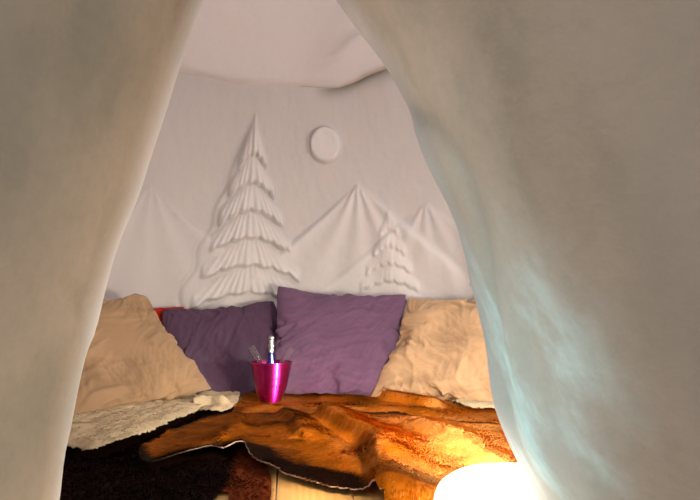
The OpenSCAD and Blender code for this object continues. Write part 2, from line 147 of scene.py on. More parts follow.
# Shader maths written as expressions
class Value:
    """A shader's socket that can be reckoned with: each operation adds its Math node."""

    def __init__(self, finish, socket):
        self.finish = finish
        self.socket = socket

    def math(self, operation, *others):
        inputs = dict(enumerate((self,) + others))
        return self.finish.node("ShaderNodeMath", {"operation": operation}, inputs)

    def __add__(self, other):
        return self.math("ADD", other)

    def __sub__(self, other):
        return self.math("SUBTRACT", other)

    def __rsub__(self, other):
        return self.finish.node("ShaderNodeMath", {"operation": "SUBTRACT"}, {0: other, 1: self})

    def __mul__(self, other):
        return self.math("MULTIPLY", other)

    __radd__ = __add__
    __rmul__ = __mul__

    def between(self, low, high):
        """0 below low, 1 above high, and a smooth step between them; low may be the greater."""
        settings = {"interpolation_type": "SMOOTHSTEP"}
        if low > high:
            return 1 - self.between(high, low)
        return self.finish.node("ShaderNodeMapRange", settings, {"Value": self, 1: low, 2: high})


class Finish:
    """A node tree and the one way to add nodes to it."""

    def __init__(self, tree):
        self.tree = tree

    def feed(self, socket, value):
        if isinstance(value, Value):
            self.tree.links.new(value.socket, socket)
        elif hasattr(value, "__len__") and socket.type == "RGBA" and len(value) == 3:
            socket.default_value = (*value, 1)
        else:
            socket.default_value = value

    def node(self, kind, settings=None, inputs=None, output=0):
        """Adds a node: its settings first, then the value or link of each socket."""
        node = self.tree.nodes.new(kind)
        for key, value in (settings or {}).items():
            if key == "stops":
                ramp = node.color_ramp
                while len(ramp.elements) < len(value):
                    ramp.elements.new(1)
                for stop, (place, shade) in zip(ramp.elements, value):
                    stop.position = place
                    stop.color = (*shade, 1)
            else:
                setattr(node, key, value)
        for key, value in (inputs or {}).items():
            self.feed(node.inputs[key], value)
        return Value(self, node.outputs[output]) if node.outputs else None

    def mix(self, share, low, high):
        """Colour between low and high by a share."""
        return self.node("ShaderNodeMix", {"data_type": "RGBA"}, {0: share, 6: low, 7: high}, 2)

    def where(self):
        """Object coordinates."""
        return self.node("ShaderNodeTexCoord", output="Object")

    def parts(self, where):
        """The three parts of a vector."""
        return [self.node("ShaderNodeSeparateXYZ", {}, {0: where}, k) for k in range(3)]

    def vector(self, x, y, z):
        return self.node("ShaderNodeCombineXYZ", {}, {0: x, 1: y, 2: z})

    def vector_math(self, operation, *vectors):
        """A length or a distance."""
        return self.node(
            "ShaderNodeVectorMath", {"operation": operation}, dict(enumerate(vectors)), "Value")

    def stretched(self, where, scale):
        return self.node("ShaderNodeMapping", {}, {"Vector": where, "Scale": scale})

    def attribute(self, name):
        return self.node("ShaderNodeAttribute", {"attribute_name": name}, output="Fac")

    def noise(self, where, scale, detail=3.0, roughness=0.5, stretch=None):
        if stretch:
            where = self.stretched(where, stretch)
        return self.node(
            "ShaderNodeTexNoise", {},
            {"Vector": where, "Scale": scale, "Detail": detail, "Roughness": roughness})

    def bands(self, where, axis, **inputs):
        """Waves of straight bands across an axis."""
        settings = {"wave_type": "BANDS", "bands_direction": axis}
        inputs = {key.replace("_", " "): value for key, value in inputs.items()}
        return self.node("ShaderNodeTexWave", settings, {"Vector": where, **inputs}, "Fac")

    def spots(self, where, scale):
        """Distance from the nearest of scattered spots."""
        return self.node("ShaderNodeTexVoronoi", {}, {"Vector": where, "Scale": scale}, "Distance")

    def shade(self, factor, stops):
        return self.node("ShaderNodeValToRGB", {"stops": stops}, {0: factor})


class Surface(Finish):
    """A material with one Principled shader."""

    def __init__(self, name):
        self.material = bpy.data.materials.new(name)
        self.material.use_nodes = True
        super().__init__(self.material.node_tree)
        self.shader = self.tree.nodes["Principled BSDF"]

    def set(self, **inputs):
        """Feeds the shader's sockets, named with underscores for blanks."""
        for key, value in inputs.items():
            self.feed(self.shader.inputs[key.replace("_", " ")], value)
        return self

    def bump(self, height, distance, strength=1.0):
        normal = self.node(
            "ShaderNodeBump", {}, {"Height": height, "Distance": distance, "Strength": strength})
        return self.set(Normal=normal)


def scaled(colour, share):
    return tuple(min(1.0, c * share) for c in colour)


# How far outwards from the room's middle the doorway's painted shade and painted light change, from none
# to full
INNER_EDGE = (1.64, 1.48)
THROUGH_TINT = (1.79, 1.58)
THROUGH_SHEEN = (1.78, 1.62)
SHADE = (1.66, 1.90)
OUTER_LIP = (1.90, 2.03)
# Brightest spot of the painted glow through the snow: to the right, outwards, and 0.6 of its height
THROUGH_CORE = (0.37, 1.64, 0.57)


def snow_finish():
    """Snow that is pinkish in the room and white outside.

    Painted shade makes it grey-beige in the doorway, and painted teal light shows through it at the
    right.
    """
    c = colours()
    s = Surface("packed_snow")
    where = s.where()
    x, y, z = s.parts(where)
    out = ROOM_Y - y
    over_spring = (z - SPRING_Z).math("MAXIMUM", 0)
    from_middle = s.vector_math("LENGTH", s.vector(x, out, over_spring))
    mouth = from_middle.between(ROOM_R + 0.03, ROOM_R + 0.12)
    outside = s.attribute("open")
    cheek = 1 - outside

    # Base colour: room, doorway with its painted shade, and outside, with grain, blotches of painted
    # shade and painted shade in the hollows
    base = s.mix(mouth, c.room_snow, c.mouth_snow)
    base = s.mix(outside, base, c.open_snow)
    blotches = s.noise(where, 3.4, 4, 0.55, (1.3, 1.3, 0.6)).between(0.35, 0.7) * 0.15
    blotches += s.noise(where, 8.0, 4, 0.5, (1.2, 1.2, 0.42)).between(0.50, 0.66) * 0.20
    blotches += s.noise(where, 55, 4, 0.7).between(0.35, 0.7) * 0.12
    # Painted shade in the hollows and the blotches
    shadow = s.attribute("hollow") * 0.55 + blotches * mouth * (1 - outside * 0.75)
    base = s.mix(shadow, base, s.mix(outside, c.hollow_snow, scaled(c.open_snow, 0.86)))

    # Shade of the cheeks, lighter again at the outer lip
    right = x.between(0.02, 0.18) * cheek
    low_left = x.between(-0.02, -0.18) * z.between(1.8, 1.45)
    shade = out.between(*SHADE) * (right * 0.38 + 0.47) + low_left * mouth * 0.26
    base = s.mix(shade * cheek, base, scaled(c.mouth_snow, 0.54))
    base = s.mix(out.between(*OUTER_LIP) * cheek * 0.75, base, scaled(c.open_snow, 0.66))

    # Painted light through the right cheek: a teal tint in streaks, and an emitted glow with a brighter
    # core
    slant = s.vector(x * 5, (out * 0.9 + z * 0.45) * 13, (out * 0.45 - z * 0.9) * 5.5)
    streaks = s.noise(slant, 1.0, 5, 0.6)
    bright = streaks.between(0.42, 0.72)
    lit_through = right * out.between(*THROUGH_TINT) * z.between(0.2, 0.75) * z.between(1.55, 0.92)
    tint = lit_through * (bright * 0.5 + 0.5)
    base = s.mix(tint * 0.6, base, c.ice_tint)
    core = s.vector_math("DISTANCE", s.vector(x, out, z * 0.6), THROUGH_CORE).between(0.20, 0.02)
    sheen = right * out.between(*THROUGH_SHEEN) * out.between(1.5, 1.6) * 0.22
    glow = s.mix(sheen, (0, 0, 0), c.mouth_snow)
    glow = s.mix(tint * 0.24 + lit_through * bright * 0.10 + core * (bright * 0.45 + 0.16), glow, c.ice_tint)

    # Painted light: the right inner edge glows low down, as if it caught the lamp's light
    edge = right * out.between(*INNER_EDGE)
    warm = edge * z.between(1.2, 0.8) * (bright * 0.2 + 0.12) + edge * z.between(0.93, 0.80) * 0.6
    glow = s.mix(warm, glow, paint("fff6ea"))
    fine = s.noise(where, 70, 3, 0.6) * 0.2 + s.noise(where, 17, 3) * 0.9
    s.bump(fine + streaks * tint * 2, 0.008, 0.7)
    return s.set(
        Base_Color=base, Roughness=0.85 - tint * 0.3, Specular_IOR_Level=0.3,
        Emission_Color=glow, Emission_Strength=1.0).material


def carved_finish():
    """Carved snow in the room's colour, with painted shade darker on the relief's ground and darkest
    under the ledge.
    """
    c = colours()
    s = Surface("carved_snow")
    where = s.where()
    raised = s.attribute("raised")
    patches = s.noise(where, 2.2, 4)
    # Painted shade: the relief's ground, where it is low, is darker
    base = s.mix(raised.between(0.0, 0.5), scaled(c.room_snow, 0.82), c.room_snow)
    base = s.mix(patches.between(0.35, 0.8) * 0.3, base, scaled(c.room_snow, 0.88))
    base = s.mix(s.attribute("hollow") * 0.8, base, c.hollow_snow)
    fine = s.noise(where, 90, 3, 0.6) * 0.4 + s.noise(where, 26, 4)
    s.bump(fine, 0.004, 0.6)
    return s.set(Base_Color=base, Roughness=0.85, Specular_IOR_Level=0.3).material


def lit_finish():
    """Snow that glows from the lamp inside it."""
    c = colours()
    s = Surface("lit_snow")
    where = s.where()
    z = s.parts(where)[2]
    glow = z.between(0.15, 0.62) * 0.7 + s.noise(where, 6, 3) * 0.3
    colour = s.mix(glow, scaled(c.lamp_glow, 0.45), c.lamp_glow)
    s.bump(s.noise(where, 40, 4), 0.004, 0.6)
    return s.set(
        Base_Color=colour, Roughness=0.8, Emission_Color=colour, Emission_Strength=7.0).material


def pine_finish():
    """Planed pine: growth lines along the boards, knots, and a shade of its own for each board."""
    c = colours()
    s = Surface("planed_pine")
    where = s.where()
    x = s.parts(where)[0]
    boards_per_metre = 5
    number = (x * boards_per_metre).math("FLOOR")
    board = s.node("ShaderNodeTexWhiteNoise", {"noise_dimensions": "1D"}, {"W": number})
    waver = s.noise(where, 1.5, 2, 0.4, (2.0, 0.5, 2.0))
    lines = s.bands(
        s.stretched(where, (14, 0.5, 14)), "X", Scale=1.0, Distortion=9.0, Detail=2.0, Detail_Scale=0.7)
    knot = s.spots(s.stretched(where, (3.1, 1.4, 3.1)), 1.6).between(0.055, 0.02)
    base = s.mix(lines * 0.45, c.pine, scaled(c.pine, 0.66))
    base = s.mix(board * 0.25, base, scaled(c.pine, 1.15))
    base = s.mix(waver.between(0.4, 0.7) * 0.25, base, scaled(c.pine, 0.8))
    base = s.mix(knot * 0.85, base, paint("5a3216"))
    s.bump(lines * 0.6 + s.noise(where, 120, 3, 0.6, (1, 0.1, 1)), 0.0008, 0.5)
    return s.set(Base_Color=base, Roughness=0.5 + lines * 0.12).material


def fur_finish(name, dark, middle, light, roughness=0.5, gloss=0.2, curls=0.0):
    """Fur coloured by its tone, from dark to light; curls is the height of wool's small curls."""
    s = Surface(name)
    where = s.where()
    tone = s.attribute("tone") + (s.noise(where, 9, 3) - 0.5) * 0.22
    base = s.shade(tone, [(0.0, dark), (0.42, middle), (0.85, light)])
    if curls:
        s.bump(s.noise(where, 75, 3, 0.6), curls, 0.8)
    return s.set(Base_Color=base, Roughness=roughness, Specular_IOR_Level=gloss).material


def rim_finish():
    """Pale cut edge of a tanned skin, dark at the leg's end."""
    s = Surface("skin_rim")
    where = s.where()
    x = s.parts(where)[0]
    base = s.mix(s.noise(where, 25, 3), paint("b58f7c"), paint("dcc0b0"))
    base = s.mix(x.between(-0.22, -0.34), base, paint("3a2414"))
    return s.set(Base_Color=base, Roughness=0.7).material


def linen_finish(name, colour, dark=0.86, left=0.0):
    """Crumpled washed linen with threads and slubs, and painted light and shade on its creases.

    left is painted shade that darkens the pillows at the left.
    """
    s = Surface(name)
    cloth = s.node("ShaderNodeUVMap", {"uv_map": "cloth"})
    x = s.parts(s.where())[0]
    weft, warp = (s.bands(cloth, axis, Scale=120.0, Distortion=1.2, Detail=2.0) for axis in "XY")
    weave = weft * warp
    slubs = s.noise(cloth, 30, 3, 0.6, (1, 9, 1)) * 0.5 + s.noise(cloth, 30, 3, 0.6, (9, 1, 1)) * 0.5
    crease = s.attribute("crease")
    # Painted shade on the creases: darker by dark where the crease is low
    base = s.mix(crease, scaled(colour, dark), colour)
    base = s.mix(slubs.between(0.45, 0.7) * 0.2, base, scaled(colour, 1.2))
    base = s.mix(weave * 0.1, base, scaled(colour, 0.7))
    # Painted shade: the pillows at the left are darker by left
    base = s.mix(x.between(0.0, -0.10) * left, base, scaled(colour, 0.3))
    s.bump(weave * 0.35 + slubs + s.noise(cloth, 7, 5, 0.6) * 2.2, 0.0012, 0.7)
    return s.set(
        Base_Color=base, Roughness=0.82, Specular_IOR_Level=0.08,
        Sheen_Weight=0.06, Sheen_Roughness=0.5).material


def bucket_finish():
    """Pink lacquered metal with the streaks of its spinning."""
    c = colours()
    s = Surface("pink_metal")
    streaks = s.noise(s.where(), 60, 3, 0.5, (0.2, 0.2, 3.0))
    base = s.mix(streaks, scaled(c.pink_metal, 0.46), scaled(c.pink_metal, 0.7))
    s.bump(streaks, 0.0003, 0.3)
    return s.set(
        Base_Color=base, Metallic=0.9, Roughness=0.25 + streaks * 0.08, Anisotropic=0.9,
        Anisotropic_Rotation=0.25, Coat_Weight=0.35, Coat_Roughness=0.2).material


FOIL = paint("b4b5b2")
FOIL_CREASE = 0.0015


def crinkle(s, where):
    """Height of foil's creases."""
    return s.spots(where, 170.0) + s.noise(where, 60, 3)


def bottle_finish(foot, top):
    """Dark green glass as an opaque gloss, a blue band from foot to top and silver foil above it."""
    s = Surface("green_glass")
    where = s.where()
    z = s.parts(where)[2]
    clouds = s.noise(where, 20, 2)
    wrapped, silver = (z.between(edge - 0.001, edge + 0.001) for edge in (foot, top))
    base = s.mix(clouds, paint("0c1f14"), paint("16301f"))
    base = s.mix(wrapped, base, paint("1b2a90"))
    base = s.mix(silver, base, FOIL)
    s.bump(crinkle(s, where) * wrapped, FOIL_CREASE, 0.7)
    return s.set(
        Base_Color=base, Metallic=silver * 0.6 + wrapped * 0.4,
        Roughness=0.08 + clouds * 0.05 + wrapped * 0.15, Coat_Weight=0.6 - wrapped * 0.4).material


def foil_finish():
    """Crinkled silver foil."""
    s = Surface("silver_foil")
    creases = crinkle(s, s.where())
    s.bump(creases, FOIL_CREASE, 0.7)
    return s.set(Base_Color=FOIL, Metallic=1.0, Roughness=0.18 + creases * 0.08).material


def glass_finish():
    """Clear thin glass."""
    s = Surface("clear_glass")
    smear = s.noise(s.where(), 25, 3)
    return s.set(
        Base_Color=(0.97, 0.98, 0.98), Roughness=0.02 + smear * 0.05,
        Transmission_Weight=1.0, IOR=1.45).material


# Shapes as whole arrays
def on_plane(flat):
    """Flat points with a third part of zero."""
    return np.concatenate([flat, np.zeros_like(flat[..., :1])], axis=-1)


def lattice(p, seed=0):
    """Smooth noise from -1 to 1: hashed values at whole places, blended by a smooth step each way."""
    cell = np.floor(p).astype(np.int64)
    part = p - cell
    ease = part * part * (3 - 2 * part)
    total = np.zeros(p.shape[:-1])
    for corner in np.ndindex(2, 2, 2):
        k = cell + corner
        h = k[..., 0] * 73856093 ^ k[..., 1] * 19349663 ^ k[..., 2] * 83492791 ^ (seed + 7) * 26544357
        h = (h ^ (h >> 13)) & 0xFFFFFFFF
        h = (h * 1274126177) & 0xFFFFFFFF
        h = h ^ (h >> 15)
        value = (h & 0xFFFF) / 32767.5 - 1
        total += value * np.prod(np.where(corner, ease, 1 - ease), axis=-1)
    return total


def rough(p, octaves=3, seed=0):
    """Sum of noises, each at twice the scale and half the height of the one before."""
    return sum(lattice(p * 2 ** k, seed + k) / 2 ** k for k in range(octaves))


def step(value):
    """0 below 0, 1 above 1, and 3v^2 - 2v^3 between them."""
    v = np.clip(value, 0, 1)
    return v * v * (3 - 2 * v)


def grid_faces(rows, columns, first=0):
    """Four-cornered faces of a grid of points that is numbered row by row."""
    corner = first + np.arange(rows - 1)[:, None] * columns + np.arange(columns - 1)
    corner = corner.ravel()
    return np.stack([corner, corner + 1, corner + columns + 1, corner + columns], axis=1)


def fill_mesh(name, points, faces):
    """Puts points and lists of like faces into a new smooth mesh."""
    mesh = bpy.data.meshes.new(name)
    corners = np.concatenate([f.ravel() for f in faces])
    counts = np.concatenate([np.full(len(f), f.shape[1]) for f in faces])
    starts = np.cumsum(counts) - counts
    mesh.vertices.add(len(points))
    mesh.vertices.foreach_set("co", np.asarray(points, np.float32).ravel())
    mesh.loops.add(len(corners))
    mesh.loops.foreach_set("vertex_index", corners.astype(np.int32))
    mesh.polygons.add(len(counts))
    mesh.polygons.foreach_set("loop_start", starts.astype(np.int32))
    mesh.update(calc_edges=True)
    mesh.validate()
    mesh.shade_smooth()
    return mesh


def weld(mesh, distance=0.0002):
    """Merges points that coincide and turns the faces of the closed shape outwards."""
    net = bmesh.new()
    net.from_mesh(mesh)
    bmesh.ops.remove_doubles(net, verts=net.verts, dist=distance)
    bmesh.ops.recalc_face_normals(net, faces=net.faces)
    net.to_mesh(mesh)
    net.free()
    mesh.shade_smooth()


def points_of(mesh):
    co = np.empty(len(mesh.vertices) * 3, np.float32)
    mesh.vertices.foreach_get("co", co)
    return co.reshape(-1, 3).astype(float)


def normals_of(mesh):
    way = np.empty(len(mesh.vertices) * 3, np.float32)
    mesh.vertex_normals.foreach_get("vector", way)
    return way.reshape(-1, 3).astype(float)


def move_points(mesh, points):
    mesh.vertices.foreach_set("co", np.asarray(points, np.float32).ravel())
    mesh.update()


def tell(mesh, name, values):
    """Keeps one number for each point of a mesh."""
    kept = mesh.attributes.new(name, "FLOAT", "POINT")
    kept.data.foreach_set("value", np.asarray(values, np.float32).ravel())


def put(name, data):
    """A new object in the scene."""
    thing = bpy.data.objects.new(name, data)
    bpy.context.scene.collection.objects.link(thing)
    return thing


def dress(node, material):
    """Gives a carried-over CAD node its finish."""
    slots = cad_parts[node].data.materials
    slots.clear()
    slots.append(material)


def add_piece(mesh, material, slot, *replaced):
    """Shows a mesh as a piece of the igloo, at the origin."""
    piece = put(mesh.name, mesh)
    mesh.materials.append(material)
    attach(piece, "root")
    if replaced:
        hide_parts(*replaced)
    return piece


def relax(mesh, weight, rounds):
    """Draws each point towards the mean of its neighbours by its weight, several times over."""
    ends = np.empty(len(mesh.edges) * 2, np.int32)
    mesh.edges.foreach_get("vertices", ends)
    a, b = ends.reshape(-1, 2).T
    co = points_of(mesh)
    n = len(co)
    count = np.bincount(a, minlength=n) + np.bincount(b, minlength=n)
    for _ in range(rounds):
        total = [np.bincount(a, co[b, k], n) + np.bincount(b, co[a, k], n) for k in range(3)]
        co += weight[:, None] * (np.stack(total, axis=1) / count[:, None] - co)
    move_points(mesh, co)


# The snow shell
def wall_r(z, upright, spring, extra=0.0):
    """Radius of a face of the shell: upright(z) below the spring line, a sphere above."""
    rise = np.maximum(z - SPRING_Z, 0)
    sphere = np.sqrt(np.maximum((spring + extra) ** 2 - rise ** 2, 0))
    return np.where(z < SPRING_Z, upright(z) + extra, sphere)


def outer_r(z):
    return wall_r(z, lambda h: BASE_R + (SHOULDER_R - BASE_R) * h / SPRING_Z, SHOULDER_R)


def inner_r(z, extra=0.0):
    return wall_r(z, lambda h: ROOM_R, ROOM_R, extra)


class Doorway:
    """Pointed arch of two arcs struck from the ground line, flared by quarter rounds on both sides."""

    HALVINGS = 48

    def __init__(self):
        s = sizes()
        self.mouth = s.mouth_radius
        self.edge = s.edge_radius
        self.centre = (s.door_height ** 2 - s.door_width ** 2 / 4) / s.door_width
        self.radius = self.centre + s.door_width / 2

    def arc(self, out):
        """Radius of the arcs at a distance outwards: the throat's, and what the rounds stand back."""
        past = np.clip(out - THROAT, 0, self.mouth * 0.9999)
        short = np.clip(THROAT - out, 0, self.edge)
        return (self.radius + self.mouth - np.sqrt(self.mouth ** 2 - past ** 2)
                + self.edge - np.sqrt(self.edge ** 2 - short ** 2))

    def half_width(self, z, out):
        return np.sqrt(np.maximum(self.arc(out) ** 2 - z ** 2, 0)) - self.centre

    def apex(self, out):
        return np.sqrt(self.arc(out) ** 2 - self.centre ** 2)

    def meeting(self, v, radius_at, low, high):
        """Distance outwards at which the opening meets a face of the wall, found by halving a span."""
        low, high = np.full(v.shape, low), np.full(v.shape, high)
        for _ in range(self.HALVINGS):
            out = (low + high) / 2
            z = v * self.apex(out)
            beyond = self.half_width(z, out) ** 2 + out ** 2 > radius_at(z) ** 2
            low, high = np.where(beyond, low, out), np.where(beyond, out, high)
        return out


# The ledge over the carving: its climb, the slot under it and the lip over it, all towards the right
LEDGE_CLIMB = 0.085
SLOT_DEPTH = 0.06
LIP_DEPTH = 0.17
LIP_HEIGHT = 0.09
# Room behind the carving
RECESS_GAP = 0.004


def lifted(z, aside):
    """Height near the ledge, which climbs to the right as it was cut by hand."""
    return z + LEDGE_CLIMB * step((aside - 0.25) / 0.55) * np.exp(-((z - LEDGE_Z) / 0.16) ** 2)


def slot_at(z, aside):
    """How much deeper the recess is cut just under the ledge, towards the right."""
    return SLOT_DEPTH * step((aside - 0.1) / 0.5) * np.exp(-np.maximum(LEDGE_Z - z, 0) / 0.05)


def lip_at(above, aside):
    """How far the wall is drawn in over the ledge, from the height above it."""
    lip = LIP_DEPTH * step((aside - 0.05) / 0.7) * step((1.5 - aside) / 0.6)
    return lip * step(above / LIP_HEIGHT) * np.exp(-np.maximum(above - LIP_HEIGHT, 0) / 0.25)


def round_wall(z, edge_angle, u, radius):
    """Wall points by height and by share of the way round, from the doorway's right edge to its left."""
    angle = edge_angle[:, None] + (2 * np.pi - 2 * edge_angle[:, None]) * u
    z = z[:, None] + 0 * angle
    r, z = radius(z, angle)
    return np.stack([r * np.sin(angle), ROOM_Y - r * np.cos(angle), z], axis=-1)


def shell_mesh():
    """Snow shell: its outer and inner faces and the doorway's two flared cheeks on one set of rows."""
    s = sizes()
    door = Doorway()
    rows, columns, depths = 89, 193, 41
    v = np.linspace(0, 1, rows)
    # The columns crowd towards the doorway
    crowding = 0.6
    share = np.linspace(0, 1, columns)
    u = share - crowding * np.sin(2 * np.pi * share) / (2 * np.pi)
    across = np.linspace(0, 1, depths)
    low, high = THROAT, THROAT + door.mouth
    out_a = door.meeting(v, outer_r, low, high)
    out_b = door.meeting(v, inner_r, ROOM_R - 0.5, THROAT)

    def edge_of(out):
        z = v * door.apex(out)
        return z, np.arctan2(door.half_width(z, out), out)

    def rows_to_top(z, angle, r, breaks, counts):
        """Heights above the opening, by even angles up a sphere, with chosen heights kept."""
        tilt = np.arcsin(np.clip((np.array(breaks) - SPRING_Z) / r, 0, 1))
        spans = [np.linspace(a, b, n) for a, b, n in zip(tilt, tilt[1:], counts)]
        above = SPRING_Z + r * np.sin(np.concatenate(spans)[1:])
        return np.concatenate([z, above]), np.concatenate([angle, np.zeros(len(above))])

    z_a, angle_a = edge_of(out_a)
    top_z, top_angle = rows_to_top(z_a, angle_a, SHOULDER_R, (z_a[-1], SPRING_Z + SHOULDER_R), (54,))
    outer = round_wall(top_z, top_angle, u, lambda z, a: (outer_r(z), z))

    z_b, angle_b = edge_of(out_b)
    in_z, in_angle = rows_to_top(
        z_b, angle_b, ROOM_R, (z_b[-1], LEDGE_Z, LEDGE_Z + 0.14, SPRING_Z + ROOM_R), (26, 9, 27))
    is_ledge = np.isclose(in_z, LEDGE_Z)
    first_ledge = np.flatnonzero(is_ledge)[0]
    sunk_row = (np.arange(len(in_z)) <= first_ledge) & (in_z > DECK_Z - 0.1)

    def sunk(z, angle):
        """Inner radius: sunk behind the carving, and drawn in over the ledge towards the right."""
        aside = (np.pi - angle) * ROOM_R
        over = (s.recess_half_angle - np.abs(np.pi - angle)) / math.radians(5)
        deep = (s.recess_depth + RECESS_GAP + slot_at(z, aside)) * (over > 0.6) * sunk_row[:, None]
        lip = lip_at(z - LEDGE_Z, aside) * ~sunk_row[:, None]
        z = lifted(z, aside)
        return inner_r(z, deep) - lip, z

    inner = round_wall(in_z, in_angle, u, sunk)

    out = out_a[:, None] + (out_b - out_a)[:, None] * across
    z = v[:, None] * door.apex(out)
    half = door.half_width(z, out)
    cheeks = [np.stack([side * half, ROOM_Y - out, z], axis=-1) for side in (1, -1)]

    points, faces, starts = [], [], []
    for part in (outer, inner, *cheeks):
        starts.append(sum(len(p) for p in points))
        points.append(part.reshape(-1, 3))
        faces.append(grid_faces(*part.shape[:2], starts[-1]))
    ring = np.arange(len(u) - 1)
    a, b = starts[0] + ring, starts[1] + ring
    faces.append(np.stack([a, b, b + 1, a + 1], axis=1))
    fan = np.arange(1, len(across) - 1)
    threes = [np.stack([0 * fan + k, k + fan, k + fan + 1], axis=1) for k in starts[2:]]
    mesh = fill_mesh("snow_shell", np.concatenate(points), faces + threes)
    weld(mesh)
    return mesh, door


# Hand-made doorway: heights, and how far its left and right edges lean to the right there
LEFT_LEAN = ((0.0, 0.77, 0.96, 1.13, 1.25, 1.40, 1.59, 1.80),
             (0.02, 0.042, 0.025, 0.005, 0.011, -0.004, -0.022, -0.02))
RIGHT_LEAN = ((0.0, 0.74, 0.87, 1.03, 1.19, 1.33, 1.45, 1.60, 1.80),
              (0.03, 0.038, -0.004, 0.013, 0.033, 0.011, 0.018, -0.033, -0.04))


def lean_at(z, lean):
    """Lean at a height, as the mean over a span of 0.1 m."""
    return np.mean([np.interp(z + d, *lean) for d in np.linspace(-0.05, 0.05, 7)], axis=0)


def soften_shell(mesh, door):
    """Rounds the shell's crisp edges, leans the doorway's, then raises lumps and cuts soft grooves."""
    height = sizes().lump_height
    mouth_reach, inner_reach = 0.16, 0.035
    co = points_of(mesh)
    x, out, z = np.abs(co[:, 0]), ROOM_Y - co[:, 1], co[:, 2]
    r = np.hypot(co[:, 0], out)
    beside = np.abs(x - door.half_width(z, np.clip(out, ROOM_R - 0.4, THROAT + door.mouth * 0.99)))
    front = out > 1.0
    mouth = np.exp(-((beside ** 2 + (outer_r(z) - r) ** 2) / mouth_reach ** 2)) * front
    inner = np.exp(-((beside ** 2 + (inner_r(z) - r) ** 2) / inner_reach ** 2)) * front
    far = np.hypot(r, np.maximum(z - SPRING_Z, 0))
    grounded = co[:, 2] < 0.001
    relax(mesh, np.clip(mouth, 0, 0.7) * ~grounded, 60)
    relax(mesh, np.clip(inner, 0, 0.6) * ~grounded, 14)
    ledge = np.exp(-((co[:, 2] - LEDGE_Z) / 0.02) ** 2) * (co[:, 1] > ROOM_Y) * (r < ROOM_R + 0.1)
    relax(mesh, ledge * 0.35, 3)
    co = points_of(mesh)
    near = np.exp(-(beside / 0.3) ** 2 - ((out - THROAT) / 0.4) ** 2) * front
    across = step(co[:, 0] / 0.2 + 0.5)
    shift = (1 - across) * lean_at(z, LEFT_LEAN) + across * lean_at(z, RIGHT_LEAN)
    co[:, 0] += near * shift
    move_points(mesh, co)
    way = normals_of(mesh)
    outside = step((0.11 - outer_r(z) + r) / 0.08)
    outside = np.where(z > SPRING_Z, step((far - SHOULDER_R + 0.11) / 0.08), outside)
    cheek = step((far - ROOM_R) / 0.05) * (1 - outside)
    soft = rough(co * 1.9, 3, 3)
    fine = rough(co * 8.0, 2, 11)
    swell = rough(co * (5.5, 5.5, 2.8), 3, 17)
    warp = 0.12 * rough(co * 3.5, 2, 23)[:, None]
    groove = np.clip(1 - 3.0 * np.abs(lattice((co + warp) * (6.5, 6.5, 1.7), 21)), 0, 1)
    groove *= step(lattice(co * 3.1, 29) * 1.5 + 0.35)
    inward = -height * (1.8 + 1.5 * soft + 0.4 * fine)
    about = height * (0.45 * soft + 0.2 * fine) + cheek * height * (0.55 * swell - 0.9 * groove)
    lift = outside * inward + (1 - outside) * about
    co += way * lift[:, None]
    co[grounded, 2] = 0
    co[:, 2] = np.maximum(co[:, 2], 0)
    move_points(mesh, co)
    skin = 0.05
    open_air = step((skin - outer_r(z) + r) / skin)
    open_air = np.where(z > SPRING_Z, step((far - SHOULDER_R + skin) / skin), open_air)
    # Near the doorway the outside is not counted as open air, so the doorway's painted shade reaches out
    # there
    by_mouth = step((0.50 - beside + 0.10 * soft) / 0.46) * front * step((2.2 - z + 0.1 * soft) / 0.4)
    tell(mesh, "open", open_air * (1 - by_mouth))
    # Painted shade in the cheeks' grooves and low hollows
    tell(mesh, "hollow", np.clip((0.75 * groove + 0.45 * step(0.3 - swell)) * cheek, 0, 1))


# The carving
def bough(s, z, foot_s, foot_z, height, half_width, tiers, k):
    """One tier of a fir: a roof whose lower edge droops with the square of the way out, in fingers."""
    tier = height / tiers
    foot = foot_z + (tiers - 1 - k) * tier * 0.92
    half = half_width * (k + 1.6) / (tiers + 0.6)
    side = (s - foot_s) / half
    u = np.abs(side)
    finger = np.abs(np.cos(side * 9.4 + k))
    lower = foot - tier * 0.55 * u ** 2 - 0.018 * finger
    upper = foot + tier * 1.35 * (1 - u)
    down = np.clip((upper - z) / np.maximum(0.001, upper - lower), 0, 1)
    spread = np.arctan2(s - foot_s, np.maximum(upper + 0.08 - z, 0.02))
    needles = 0.90 + 0.10 * np.cos(spread * 34 + k)
    value = step((z - lower) / 0.03) * down ** 0.8 * (0.80 + 0.20 * finger) * needles
    return np.where(u < 1, value * step((1 - u) * 9), 0)


def fir(s, z, foot_s, foot_z, height, half_width, tiers):
    boughs = [bough(s, z, foot_s, foot_z, height, half_width, tiers, k) for k in range(tiers)]
    return np.max(boughs, axis=0)


def mountain(s, z, peak_s, top, slope, crests):
    """Two straight slopes with crests that run down from the peak."""
    depth = top - z - slope * np.abs(s - peak_s)
    crest = 0.75 + 0.25 * np.cos(np.arctan2(s - peak_s, np.maximum(top - z, 0) + 0.001) * crests)
    return step(depth / 0.06) * crest * (1 - 0.35 * step(depth / 0.9))


# Places on the carved wall, to the right of its middle and upwards: the large fir's foot, and the moon
FIR_S = -0.23
FIR_Z = DECK_Z + 0.56
MOON_S = 0.27
MOON_Z = LEDGE_Z - 0.33
MOON_R = 0.118


# Hills: height of the relief, place of the peak, its drop from the ledge, slope and number of crests
HILLS = ((0.36, 0.48, 0.56, 0.85, 16), (0.20, 0.93, 0.70, 0.80, 14), (0.26, -0.88, 0.62, 0.75, 15))


